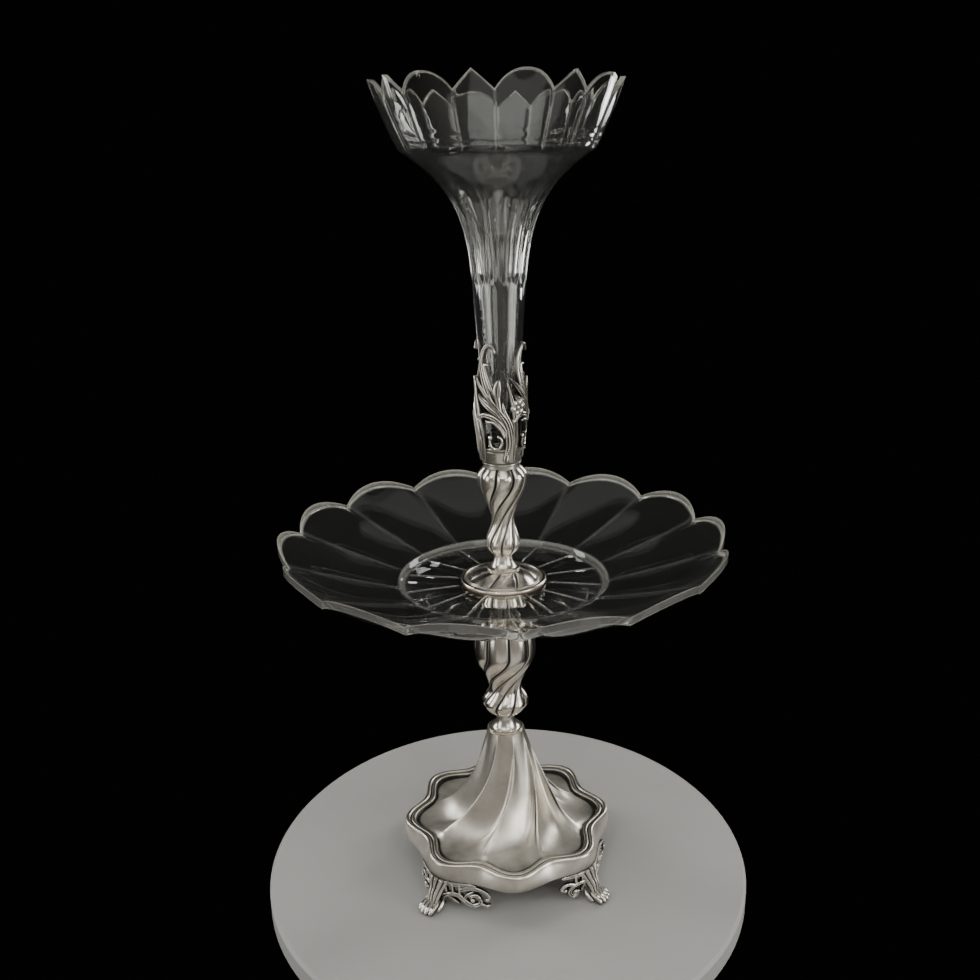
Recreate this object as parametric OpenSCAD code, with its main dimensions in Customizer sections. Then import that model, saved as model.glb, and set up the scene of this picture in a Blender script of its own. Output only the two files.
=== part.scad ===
// Table centrepiece: a lobed silver foot, a swirled stem, a petalled glass dish and a trumpet vase.
// Sizes are millimetres, +Z is up, and the origin is on the table under the middle of the stem.

/* [Foot] */
// Mean radius of the lobed foot
foot_mid_r = 66.5; // [60:0.5:76]
// How far the lobes swing in and out of the mean radius
foot_lobe_swing = 4.5; // [2:0.5:8]
// How far the lobes swing at the skirt's lower edge
skirt_swing = 2.5; // [1:0.5:4]
// Height of the cast feet under the skirt
feet_h = 21.5; // [18:0.5:28]
// How far the toes stand out from the stem's axis
toe_reach = 87; // [82:0.5:96]
// Half-width of the legs where they meet the skirt
leg_w = 9.6; // [7:0.1:11]
// Half-thickness of the legs there
leg_t = 4.4; // [3.6:0.1:5]
// Half-width of the widest scrolls of the feet
scroll_w = 1.8; // [1.6:0.1:2.2]
// Height of the smooth skirt round the foot
skirt_h = 11; // [8:0.5:18]
// Width of the moulding along the top of the skirt
rim_w = 8; // [7:0.5:12]
// Thickness of the silver sheet
sheet_t = 1.6; // [1:0.1:2.5]
// Depth of the sunk field below the moulding
field_drop = 3; // [2.4:0.1:5]
// Rise of the swirled cone above the moulding
cone_h = 67; // [50:1:90]
// Radius of the cone's flat top
cone_top_r = 12.5; // [12.3:0.1:18]
// How far the ridges stand above the field at the moulding
ridge_rise = 1.4; // [0.5:0.1:2]
// Turn of the ridges from the moulding to the top of the cone
cone_swirl = 38; // [0:1:70]

/* [Lower stem] */
// Height of the flared collar on the cone
lower_collar_h = 10; // [7:0.5:14]
// Radius of that collar's lip
lower_collar_r = 11.3; // [10:0.1:13]
// Height of the lower baluster
lower_h = 85; // [70:1:110]
// Radius of its neck
lower_neck_r = 6; // [5.6:0.1:8]
// Radius of its small bulb
lower_bulb_r = 15.5; // [13:0.1:18]
// Radius of its waist
lower_waist_r = 11; // [9:0.1:13]
// Radius of its crown
lower_crown_r = 20.8; // [17:0.1:24]
// Height of the plate that carries the dish
rest_h = 5; // [4:0.5:9]
// Radius of the plate that carries the dish
rest_r = 19; // [14:0.5:24]

/* [Gadroons] */
// Number of swirled gadroons round each baluster
gadroons = 8; // [6:1:10]
// Depth of the grooves between gadroons at a baluster's crown
groove_depth = 2.6; // [1:0.1:3.5]
// Turn of the gadroons from the bottom to the top of a baluster
stem_swirl = 125; // [0:5:150]
// Turn of the lower baluster's grooves at its neck
lower_start = 14; // [-22:1:22]
// Turn of the upper baluster's grooves at its neck
upper_start = -10; // [-22:1:22]

/* [Dish] */
// Number of petals round the dish
petals = 14; // [10:2:18]
// Radius over the petal tips
dish_tip_r = 142; // [120:1:160]
// Radius at the notches between petals
dish_notch_r = 137; // [116:1:155]
// Height of the petal tips above the dish's floor
dish_tip_h = 36; // [26:1:50]
// Height of the notches above the dish's floor
dish_notch_h = 25.5; // [16:0.5:36]
// How deep the petals are scooped between their ridges
petal_scoop = 3.2; // [0:0.1:5]
// Radius of the sunk well
well_r = 68; // [50:1:84]
// Depth of the sunk well
well_depth = 4; // [2:0.5:8]
// Thickness of the dish's floor
dish_floor_t = 6.5; // [5:0.5:10]
// Thickness of the dish's petals
dish_wall_t = 4.6; // [3.5:0.1:7]
// Turn of the petals about the stem
dish_turn = -1; // [-13:1:13]

/* [Clamp rosette] */
// Radius of the rosette that holds the dish down
rosette_r = 27.6; // [24:0.1:32]
// Height of the rosette
rosette_h = 8; // [7:0.5:12]
// Thickness of the cork washers above and below the dish
washer_t = 1; // [0.6:0.1:2]

/* [Upper stem] */
// Height of the flared collar on the rosette
upper_collar_h = 9.5; // [7:0.5:14]
// Radius of that collar's lip
upper_collar_r = 10.5; // [9.5:0.1:12]
// Height of the upper baluster
upper_h = 59; // [50:1:75]
// Radius of its neck
upper_neck_r = 6; // [5.6:0.1:7]
// Radius of its small bulb
upper_bulb_r = 11.3; // [9.5:0.1:13]
// Radius of its waist
upper_waist_r = 7.3; // [6:0.1:9]
// Radius of its crown
upper_crown_r = 15.8; // [14:0.1:19]

/* [Vase holder] */
// Radius of the leaf calyx at its fullest
calyx_r = 15.5; // [15.2:0.1:19]
// Height of the calyx to its tallest curled tips
calyx_h = 80; // [70:1:92]
// Half-width of the calyx's main stems
leaf_w = 2.6; // [2.4:0.1:3]
// Number of leaf sprays round the calyx
sprays = 4; // [3:1:4]
// Clearance round the vase's stem inside its holder
vase_gap = 0.4; // [0.3:0.1:0.8]
// Thickness of the socket's floor
socket_floor_t = 3; // [2:0.5:5]
// Thickness of the cork pad under the vase
pad_t = 3; // [2.4:0.1:5]

/* [Vase] */
// Height of the vase
vase_h = 217.5; // [190:0.5:250]
// Radius of the vase's foot
vase_foot_r = 8.6; // [7.6:0.1:9.3]
// Radius of the vase's stem where it leaves the calyx
vase_neck_r = 13.6; // [12:0.1:13.8]
// Height of that place above the vase's foot
vase_neck_h = 71; // [66:1:85]
// Radius of the vase's shoulder
vase_shoulder_r = 56; // [48:0.5:64]
// Height of the bowl above the shoulder
vase_bowl_h = 37; // [28:0.5:48]
// Radius over the vase's rim
vase_rim_r = 72; // [62:0.5:80]
// Depth of the notches in the vase's rim
vase_notch = 9.5; // [4:0.5:14]
// Thickness of the vase's wall at the rim
vase_wall_t = 3; // [2:0.1:4]
// Angle taken by each round petal of the rim
round_petal_angle = 26.5; // [20:0.5:30]
// Turn of the vase in its holder
vase_turn = 8; // [-22:1:22]

/* [Fixings] */
// Diameter of the tie rod
rod_d = 6; // [5:0.5:7]
// Running clearance round the tie rod and the rosette's spigot
running_gap = 0.05; // [0.02:0.01:0.1]
// Clearance round pieces that only pass through a hole
passing_gap = 0.4; // [0.3:0.1:0.8]
// Length of thread that the upper stem screws on to
thread_h = 12; // [10:0.5:14]
// Radius of the threaded bush in the upper stem
bush_r = 4.5; // [4.2:0.1:4.8]
// Diameter of the screw that holds the socket
socket_screw_d = 4; // [3:0.5:5]
// Length of that screw below its head
socket_screw_h = 14; // [10:1:20]

/* [Hidden] */
$fn = 64;

// Heights of the seats, from the table upward
z_skirt = feet_h;
z_rim = z_skirt + skirt_h;
z_field = z_rim - field_drop;
z_cone = z_rim + cone_h;
z_lower = z_cone + lower_collar_h;
z_rest = z_lower + lower_h;
z_lower_washer = z_rest + rest_h;
z_dish = z_lower_washer + washer_t;
z_floor = z_dish + dish_floor_t;
z_rosette = z_floor + washer_t;
z_upper_collar = z_rosette + rosette_h;
z_upper = z_upper_collar + upper_collar_h;
z_socket = z_upper + upper_h;
z_pad = z_socket + socket_floor_t;
z_vase = z_pad + pad_t;

// Trumpet of the vase: where it ends and how much of it tapers evenly
vase_shoulder_h = vase_h - vase_bowl_h;
taper_share = 0.17;

// Eight lobes, with a cast foot under every other one
lobes = 8;
lobe_steps = 8;
feet = 4;
foot_angle = 360 / feet;

// Rod, nut and washer
rod_r = rod_d / 2;
pass_r = rod_r + passing_gap;
web_t = 3;
washer_r = min(rod_d * 1.5, cone_top_r - 2 * sheet_t - passing_gap);
rod_washer_t = 1.5;
nut_h = rod_d * 0.8;
nut_r = rod_d * 0.96;
rod_tail = 2;
rod_bottom = z_cone - web_t - rod_washer_t - nut_h - rod_tail;
rod_top = z_upper + thread_h;
bush_h = thread_h + rod_tail;

// Spigot of the upper collar, turning in the rosette and held by a ring below it
spigot_r = 4.5;
rosette_web_t = 2;
retainer_t = 1.2;
retainer_gap = 0.2;
retainer_w = 2.5;
retainer_fit = 0.02;

// Smooth ramps
function ease(t) = (1 - cos(180 * t)) / 2;
function mix(a, b, t) = a + (b - a) * t;
function arch(u) = 1 - pow(2 * u - 1, 2);

// A ring of points at radius r, angle a and height z, each given as [r, a, z]
function polar(p) = [p[0] * cos(p[1]), p[0] * sin(p[1]), p[2]];

// Solid skin over a stack of rings that run anticlockwise, from the lower cap to the upper cap
module loft(rings) {
    n = len(rings[0]);
    m = len(rings);
    first = m * n;
    last = first + 1;
    ends = [for (ring = [rings[0], rings[m - 1]]) [for (axis = [0:2]) sum_axis(ring, axis) / n]];
    points = concat([for (ring = rings) each ring], ends);
    sides = [for (i = [0:m - 2], j = [0:n - 1])
        let (k = (j + 1) % n, a = i * n, b = a + n)
        each [[a + j, b + j, a + k], [a + k, b + j, b + k]]];
    lower_cap = [for (j = [0:n - 1]) [first, j, (j + 1) % n]];
    upper_cap = [for (j = [0:n - 1]) [last, (m - 1) * n + (j + 1) % n, (m - 1) * n + j]];
    polyhedron(points = points, faces = concat(sides, lower_cap, upper_cap), convexity = 10);
}

function sum_axis(points, axis, i = 0) =
    i == len(points) ? 0 : points[i][axis] + sum_axis(points, axis, i + 1);

// Closed hoop: the rings run round the hoop and the last joins the first
module hoop(rings) {
    n = len(rings[0]);
    m = len(rings);
    points = [for (ring = rings) each ring];
    faces = [for (i = [0:m - 1], j = [0:n - 1])
        let (k = (j + 1) % n, a = i * n, b = ((i + 1) % m) * n)
        each [[a + j, b + j, b + k], [a + j, b + k, a + k]]];
    polyhedron(points = points, faces = faces, convexity = 10);
}

// Upright bore
module bore(r, bottom, top) {
    translate([0, 0, bottom])
        cylinder(r = r, h = top - bottom);
}

// Outline of the lobed foot, and of the skirt's lower edge, which flares out in the hollows
function foot_outline(a) = foot_mid_r + foot_lobe_swing * cos(lobes * a);
function skirt_outline(a) = foot_mid_r + foot_lobe_swing - skirt_swing * (1 - cos(lobes * a));

// Foot: the swirled dome, whose ridges run from the hollows of the outline to the top of the cone
dome_steps = lobes * lobe_steps;
dome_rows = 10;
dome_lap = 2;
rim_play = 0.2;

// Height of the ridges and of the panels, as shares, at share t of the way in from the moulding
ridge_slope = 0.2;
ridge_power = 2.2;
panel_power = 4.3;

function ridge_share(t) = mix(pow(t, ridge_power), t, ridge_slope);
function panel_share(t) = pow(t, panel_power);

// One ring of the dome at share t of the way in, set back by wall inside the sheet
function dome_ring(t, wall) = [for (j = [0:dome_steps - 1])
    let (ridge = 1 - arch((j % lobe_steps) / lobe_steps),
         edge = foot_outline(ring_angle(j)) - rim_w - rim_play,
         rise = mix(panel_share(t), ridge_share(t), ridge),
         lift = ridge_rise * ridge * (1 - t) * min(1, t * dome_rows))
    polar([mix(edge, cone_top_r, t) - wall, ring_angle(j) + cone_swirl * ease(pow(t, 1.5)),
           mix(z_field, z_cone, rise) + lift - wall * (1 - t)])];

// Flat rings on the two outlines, inset from them
function ring_angle(j) = 360 * (j + lobe_steps / 2) / dome_steps;
function outline_ring(inset, z) = [for (j = [0:dome_steps - 1])
    polar([foot_outline(ring_angle(j)) - inset, ring_angle(j), z])];
function skirt_ring(inset, z) = [for (j = [0:dome_steps - 1])
    polar([skirt_outline(ring_angle(j)) - inset, ring_angle(j), z])];

function flat_ring(ring, z) = [for (p = ring) [p[0], p[1], z]];

// Rows crowd together towards the steep top of the cone
function row_share(i) = 1 - pow(1 - i / dome_rows, 1.6);

module foot_dome() {
    flange = rim_w - dome_lap;
    inner_top = flat_ring(dome_ring(1, sheet_t * 2), z_cone - web_t);
    inside = [for (i = [dome_rows - 2:-2:2]) dome_ring(row_share(i), sheet_t)];
    rows = [for (i = [0:dome_rows]) dome_ring(row_share(i), 0)];
    edge = [outline_ring(rim_w, z_field - sheet_t), outline_ring(flange, z_field - sheet_t),
            outline_ring(flange, z_field)];
    color("silver")
    difference() {
        loft(concat([inner_top], inside, edge, rows));
        bore(pass_r, z_cone - web_t - 1, z_cone + 1);
    }
}

// Foot: moulding and skirt, given as steps in from the outline and heights
module foot_rim() {
    section = [
        [0, z_rim - 1.6],
        [1.8, z_rim],
        [3.4, z_rim - 0.4],
        [4.4, z_rim - 1.3],
        [5.4, z_rim - 0.7],
        [rim_w - 0.6, z_rim - 1],
        [rim_w, z_field],
        [sheet_t, z_field]];
    color("silver")
        hoop(concat([skirt_ring(0, z_skirt)],
                    [for (p = section) outline_ring(p[0], p[1])],
                    [skirt_ring(sheet_t, z_skirt)]));
}

// Fronds: tapering ribbons that lie on a skin, whose points are [angle, height, half-width]
ribbon_t = 2.2;

// Path through the same points, bent smoothly with a number of steps from point to point
function bend(p, q, r, s, t) = (2 * q + (r - p) * t + (2 * p - 5 * q + 4 * r - s) * pow(t, 2)
    + (3 * q - p - 3 * r + s) * pow(t, 3)) / 2;
function smooth(path, steps) =
    let (end = len(path) - 1)
    concat([for (i = [0:end - 1], k = [0:steps - 1])
        bend(path[max(i - 1, 0)], path[i], path[i + 1], path[min(i + 2, end)], k / steps)], [path[end]]);

// Direction of the path at point i, with angles measured along the skin
function path_run(path, i, skin) =
    let (p = path[max(i - 1, 0)], q = path[min(i + 1, len(path) - 1)], r = skin(path[i][0], path[i][1]))
    atan2(q[1] - p[1], (q[0] - p[0]) * PI / 180 * r);

// Section of a frond, square to its run: it stands out by relief and reaches back by depth
function frond_ring(p, run, skin, relief, depth) =
    let (r = skin(p[0], p[1]), per_mm = 180 / PI / r, back = relief * 0.5 - depth(p[1]))
    [for (q = [[-1, back], [1, back], [0.7, relief], [-0.7, relief]])
        polar([r + q[1], p[0] - q[0] * p[2] * sin(run) * per_mm, p[1] + q[0] * p[2] * cos(run)])];

module frond(path, skin, relief, depth) {
    loft([for (i = [0:len(path) - 1]) frond_ring(path[i], path_run(path, i, skin), skin, relief, depth)]);
}

// Small round boss at the end of a scroll
module scroll_eye(a, z, r, skin) {
    back = ribbon_t * 0.6;
    hull()
        translate(polar([skin(a, z) - back, a, z]))
            rotate([0, 90, a])
                cylinder(r1 = r, r2 = r * 0.6, h = back + r * 0.8, $fn = 6);
}

// Cast feet: a leaf-shaped leg ending in a paw, with a long and a short wing of pierced scrolls
leg_sides = 8;
toes = 4;
toe_r = 2.1;
long_wing = 30;
short_wing = 18;

// Middle of the cast wings, under the edge of the skirt
wing_skin = function(a, z) skirt_outline(a) + 0.4;
wing_depth = function(z) ribbon_t;

// Section of the leg at radius x and height z, w wide and t thick, leaning back, with a rib down its front
function leg_ring(x, z, w, t, lean) = [for (j = [0:leg_sides - 1])
    let (a = 360 * j / leg_sides, front = t * (j == 0 ? 1.25 : cos(a)))
    [x + front * cos(lean), w * sin(a), z + front * sin(lean)]];

module leg() {
    knee = foot_mid_r;
    loft([leg_ring(toe_reach - 4.5 * toe_r, toe_r, leg_w * 0.5, leg_t * 0.55, 90),
          leg_ring(mix(knee, toe_reach, 0.48), feet_h * 0.3, leg_w * 0.45, leg_t * 0.8, 70),
          leg_ring(mix(knee, toe_reach, 0.3), feet_h * 0.55, leg_w * 0.53, leg_t * 0.86, 50),
          leg_ring(mix(knee, toe_reach, 0.18), feet_h * 0.8, leg_w * 0.76, leg_t * 0.9, 35),
          leg_ring(knee + leg_t / 2, feet_h + leg_t / 2, leg_w, leg_t, 15)]);
}

module paw() {
    for (i = [0:toes - 1]) {
        y = (i - (toes - 1) / 2) * toe_r * 1.3;
        hull() {
            translate([toe_reach - 5 * toe_r, y * 0.8 - toe_r / 2, toe_r * 1.2])
                cube(toe_r);
            translate([toe_reach - toe_r - abs(y) * 0.25, y, toe_r * 0.8])
                sphere(r = toe_r, $fn = 5);
        }
    }
}

// A frond of a wing, with heights as shares of the feet's height and widths as shares of the widest
module wing_frond(path, relief) {
    frond([for (p = path) [p[0], p[1] * feet_h, p[2] * scroll_w]], wing_skin, relief * scroll_w, wing_depth);
}

module wing_eye(a, share, r) {
    scroll_eye(a, share * feet_h, r * scroll_w, wing_skin);
}

module wings() {
    wing_frond([[-short_wing, 0.95, 0.66], [0, 0.92, 0.96], [long_wing * 0.75, 0.94, 0.72]], 0.33);
    wing_frond(smooth([[4, 0.12, 0.7], [2.5, 0.34, 1], [7, 0.55, 0.95], [12, 0.57, 0.9], [16, 0.39, 0.9],
                       [20.5, 0.27, 0.84], [25, 0.43, 0.78], [23, 0.64, 0.72], [19.2, 0.57, 0.6],
                       [20.5, 0.46, 0.54]], 2), 0.56);
    wing_frond(smooth([[13, 0.74, 0.84], [20, 0.86, 0.78], [27, 0.82, 0.66], [long_wing, 0.7, 0.6],
                       [long_wing - 1, 0.58, 0.42]], 2), 0.22);
    wing_frond(smooth([[1, 0.5, 0.9], [-5, 0.63, 0.84], [-10.5, 0.6, 0.78], [-13.5, 0.42, 0.78],
                       [-11, 0.24, 0.72], [-8.2, 0.36, 0.6], [-10.5, 0.42, 0.54]], 2), 0.56);
    wing_frond(smooth([[-10, 0.6, 0.72], [-14.5, 0.68, 0.66], [-short_wing, 0.56, 0.6],
                       [-short_wing + 2, 0.46, 0.42]], 2), 0.28);
    for (rib = [[-10, -9.5], [-6, -5.5], [5, 6], [9, 9.5], [13, 13]])
        wing_frond([[rib[0], 0.96, 0.54], [rib[1], 0.6, 0.5]], 0.17);
    wing_eye(20.5, 0.46, 1.02);
    wing_eye(long_wing - 1, 0.6, 0.72);
    wing_eye(-10.5, 0.4, 1.08);
    wing_eye(2 - short_wing, 0.5, 0.72);
}

module scroll_foot(index) {
    color("silver")
    rotate(foot_angle * (index - 0.5))
    difference() {
        union() {
            wings();
            leg();
            paw();
        }
        for (level = [-feet_h, z_skirt])
            translate([0, -toe_reach, level])
                cube([2 * toe_reach, 2 * toe_reach, feet_h]);
    }
}

// Flared collar: a wide lip at its foot, drawn in to a neck
module flared_collar(lip_r, neck_r, h, bottom) {
    lip_t = 1.2;
    steps = 6;
    curve = [for (i = [0:steps])
        let (t = i / steps)
        [mix(lip_r, neck_r, sin(90 * t)), bottom + mix(lip_t, h, 1 - cos(90 * t))]];
    rotate_extrude()
        polygon(concat([[0, bottom], [lip_r, bottom]], curve, [[0, bottom + h]]));
}

// Fixings under the foot
module tie_rod() {
    color("goldenrod")
        bore(rod_r, rod_bottom, rod_top);
}

module rod_washer() {
    color("goldenrod")
    difference() {
        bore(washer_r, z_cone - web_t - rod_washer_t, z_cone - web_t);
        bore(pass_r, z_cone - web_t - rod_washer_t - 1, z_cone);
    }
}

module rod_nut() {
    top = z_cone - web_t - rod_washer_t;
    color("goldenrod")
    difference() {
        translate([0, 0, top - nut_h])
            cylinder(r = nut_r, h = nut_h, $fn = 6);
        bore(rod_r + running_gap, top - nut_h - 1, top + 1);
    }
}

module lower_collar() {
    color("silver")
    difference() {
        flared_collar(lower_collar_r, lower_neck_r, lower_collar_h, z_cone);
        bore(pass_r, z_cone - 1, z_lower + 1);
    }
}

// Balusters: neck, small bulb, waist and crown, with swirled gadroons
gadroon_steps = 6;
waist_rows = 9;
crown_rows = 3;

// Radius at share t of the height, for [neck, bulb, waist, crown, top] radii and three height shares
function baluster_r(t, radii, shares) =
    t < shares[0] ? mix(radii[0], radii[1], sin(90 * t / shares[0])) :
    t < shares[1] ? mix(radii[1], radii[2], ease((t - shares[0]) / (shares[1] - shares[0]))) :
    t < shares[2] ? mix(radii[2], radii[3], ease((t - shares[1]) / (shares[2] - shares[1]))) :
    mix(radii[4], radii[3], cos(90 * (t - shares[2]) / (1 - shares[2])));

// The gadroons wind from the underside of the bulb to the crown, fastest at the waist
module baluster(radii, shares, h, bottom, start) {
    n = gadroons * gadroon_steps;
    low = shares[0] * 0.6;
    high = shares[2];
    levels = concat([0, low / 2],
                    [for (i = [0:waist_rows]) mix(low, high, i / waist_rows)],
                    [for (i = [1:crown_rows]) mix(high, 1, sin(90 * i / crown_rows))]);
    rows = [for (t = levels)
        let (r = baluster_r(t, radii, shares),
             depth = groove_depth * r / radii[3],
             turn = start + stem_swirl * ease(max(0, min(1, (t - low) / (high - low)))))
        [for (j = [0:n - 1])
            let (wave = abs(sin(180 * j / gadroon_steps)))
            polar([r - depth * (1 - sqrt(wave)), 360 * j / n + turn, bottom + h * t])]];
    loft(rows);
}

lower_top_r = 12;
lower_shares = [0.13, 0.253, 0.59];
upper_top_r = 12;
upper_shares = [0.14, 0.39, 0.9];

module lower_baluster() {
    color("silver")
    difference() {
        baluster([lower_neck_r, lower_bulb_r, lower_waist_r, lower_crown_r, lower_top_r],
                 lower_shares, lower_h, z_lower, lower_start);
        bore(pass_r, z_lower - 1, z_rest + 1);
    }
}

// Plate under the dish: a hub flaring to a flat flange
module dish_rest() {
    flange_t = 2;
    color("silver")
    difference() {
        rotate_extrude()
            polygon([[0, z_rest], [lower_top_r - groove_depth, z_rest],
                     [lower_top_r - 1, z_lower_washer - flange_t - 0.8],
                     [rest_r, z_lower_washer - flange_t], [rest_r, z_lower_washer], [0, z_lower_washer]]);
        bore(pass_r, z_rest - 1, z_lower_washer + 1);
    }
}

module cork_washer(r, bottom) {
    color("peru")
    difference() {
        bore(r, bottom, bottom + washer_t);
        bore(r * 0.74, bottom - 1, bottom + washer_t + 1);
    }
}

module lower_cork_washer() {
    cork_washer(rest_r - 1, z_lower_washer);
}

module upper_cork_washer() {
    cork_washer(rosette_r - 1, z_floor);
}

// Glass dish: scooped petals round a sunk well with raised rays on its floor
petal_steps = 6;
dish_rows = 5;
dish_hole_r = pass_r + 2;
ray_h = 0.8;
ray_inner_r = rosette_r + 1.5;
well_floor_r = well_r - 6;

function dish_ring(t, drop) = [for (j = [0:petals * petal_steps - 1])
    let (u = (j % petal_steps) / petal_steps,
         bulge = arch(u),
         edge_r = mix(dish_notch_r, dish_tip_r, bulge),
         ridge_z = mix(well_depth, dish_notch_h, t),
         lift = (dish_tip_h - dish_notch_h) * bulge * pow(t, 4) - petal_scoop * bulge * sin(180 * t))
    polar([mix(well_r, edge_r, t), 360 * j / (petals * petal_steps) + dish_turn - 90,
           z_floor + ridge_z + lift - drop])];

function well_ring(r, z, ray) = [for (j = [0:petals * petal_steps - 1])
    polar([r, 360 * j / (petals * petal_steps) + dish_turn - 90, z + (j % petal_steps == 0 ? ray : 0)])];

module glass_dish() {
    under = [for (t = [0, 0.5, 1]) dish_ring(t, dish_wall_t)];
    over = [for (i = [dish_rows:-1:0]) dish_ring(i / dish_rows, 0)];
    color("lightgray", 0.5)
    difference() {
        loft(concat([well_ring(well_floor_r, z_dish, 0)], under, over,
                    [well_ring(well_floor_r, z_floor, ray_h), well_ring(ray_inner_r + 1.5, z_floor, ray_h),
                     well_ring(ray_inner_r, z_floor, 0)]));
        bore(dish_hole_r, z_dish - 1, z_floor + 1);
    }
}

// Rosette: a beaded rim round a dome of swirled lobes
rosette_steps = 5;
rosette_groove = 1;
rosette_swirl = 34;

function rosette_ring(r, z, groove) = [for (j = [0:gadroons * rosette_steps - 1])
    let (wave = abs(sin(180 * j / rosette_steps)),
         turn = -rosette_swirl * r / rosette_r)
    polar([r, 360 * j / (gadroons * rosette_steps) + turn, z - groove * (1 - sqrt(wave))])];

module clamp_rosette() {
    top = z_upper_collar;
    rim_in = rosette_r - 4.2;
    dome_r = upper_collar_r + 0.3;
    dome = [for (t = [0.04, 0.3, 0.65])
        rosette_ring(mix(rim_in, dome_r, t), mix(z_rosette + 2.2, top, sin(90 * t)), rosette_groove)];
    color("silver")
    difference() {
        loft(concat(
            [rosette_ring(dome_r - 1.5, top - rosette_web_t, 0),
             rosette_ring(rim_in - 3, z_rosette + 1.6, 0),
             rosette_ring(rim_in - 2, z_rosette, 0),
             rosette_ring(rosette_r - 0.8, z_rosette, 0),
             rosette_ring(rosette_r, z_rosette + 1, 0),
             rosette_ring(rosette_r - 1, z_rosette + 2.2, 0),
             rosette_ring(rim_in + 1, z_rosette + 2.2, 0),
             rosette_ring(rim_in, z_rosette + 1.4, 0)],
            dome,
            [rosette_ring(dome_r, top, 0)]));
        bore(spigot_r + running_gap, top - rosette_web_t - 1, top + 1);
    }
}

// Ring on the spigot's end that keeps the rosette on the collar
module rosette_retainer() {
    top = z_upper_collar - rosette_web_t - retainer_gap;
    color("goldenrod")
    difference() {
        bore(spigot_r + retainer_w, top - retainer_t, top);
        bore(spigot_r + retainer_fit, top - retainer_t - 1, top + 1);
    }
}

module upper_collar() {
    spigot_end = z_upper_collar - rosette_web_t - retainer_gap - retainer_t;
    color("silver")
    difference() {
        union() {
            flared_collar(upper_collar_r, upper_neck_r - 0.6, upper_collar_h, z_upper_collar);
            bore(spigot_r, spigot_end, z_upper_collar + 1);
        }
        bore(pass_r, spigot_end - 1, z_upper + 1);
    }
}

module upper_baluster() {
    color("silver")
    difference() {
        baluster([upper_neck_r, upper_bulb_r, upper_waist_r, upper_crown_r, upper_top_r],
                 upper_shares, upper_h, z_upper, upper_start);
        bore(bush_r, z_upper - 1, z_upper + bush_h);
        bore(socket_screw_d / 2 + running_gap, z_pad - socket_screw_h - rod_tail, z_socket + 1);
    }
}

module threaded_bush() {
    color("goldenrod")
    difference() {
        bore(bush_r - retainer_fit, z_upper, z_upper + bush_h);
        bore(rod_r + running_gap, z_upper - 1, z_upper + bush_h + 1);
    }
}

// Socket: a turned cup that takes the vase's foot, screwed to the stem inside the leaves
socket_h = 14;
socket_wall = 0.8;
socket_r = trumpet_r(z_socket + socket_h - z_vase) + vase_gap;
flange_r = socket_r + socket_wall + 0.8;
flange_h = 2;

module vase_socket() {
    wall_r = socket_r + socket_wall;
    color("silver")
    difference() {
        rotate_extrude()
            polygon([[0, z_socket], [flange_r, z_socket], [flange_r, z_socket + flange_h],
                     [wall_r, z_socket + flange_h], [wall_r, z_socket + socket_h], [0, z_socket + socket_h]]);
        bore(socket_r, z_pad, z_socket + socket_h + 1);
        bore(socket_screw_d / 2 + passing_gap, z_socket - 1, z_pad + 1);
    }
}

screw_head_r = socket_screw_d * 0.9;
screw_head_h = socket_screw_d * 0.5;

module socket_screw() {
    color("goldenrod")
    union() {
        bore(socket_screw_d / 2, z_pad - socket_screw_h, z_pad + screw_head_h / 2);
        bore(screw_head_r, z_pad, z_pad + screw_head_h);
    }
}

module vase_pad() {
    color("peru")
    difference() {
        bore(socket_r - 0.3, z_pad, z_vase);
        bore(screw_head_r + passing_gap, z_pad - 1, z_vase + 1);
    }
}

// Calyx: sprays of leaves and scrolls that rise from a band round the socket
z_calyx = z_socket + flange_h;
band_h = calyx_h * 0.125;
spray_angle = 360 / sprays;

// Outer radius of the calyx at height z, whatever the angle a
full_h = calyx_h / 2;
calyx_skin = function(a, z)
    mix(flange_r + 0.4, calyx_r, sin(90 * min(1, (z - z_socket) / full_h)));

// How far the leaves reach back towards the vase, which they never touch
leaf_depth = function(z) min(ribbon_t, calyx_skin(0, z) - trumpet_r(z - z_vase) - vase_gap);

// A frond of the calyx, with heights as shares of the calyx's height and widths as shares of the main stems'
module leaf(path, relief) {
    frond([for (p = smooth(path, 2)) [p[0], z_socket + p[1] * calyx_h, p[2] * leaf_w]],
          calyx_skin, relief * leaf_w, leaf_depth);
}

module leaf_eye(a, share, r) {
    scroll_eye(a, z_socket + share * calyx_h, r * leaf_w, calyx_skin);
}

// A flower: a boss in a ring of petals, whose radius is r times the main stems' half-width
module leaf_flower(a, share, r) {
    per_mm = 180 / PI / calyx_r;
    leaf_eye(a, share, r * 0.55);
    for (turn = [30:90:300])
        leaf_eye(a + r * leaf_w * cos(turn) * per_mm, share + r * leaf_w * sin(turn) / calyx_h, r * 0.7);
}

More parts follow.
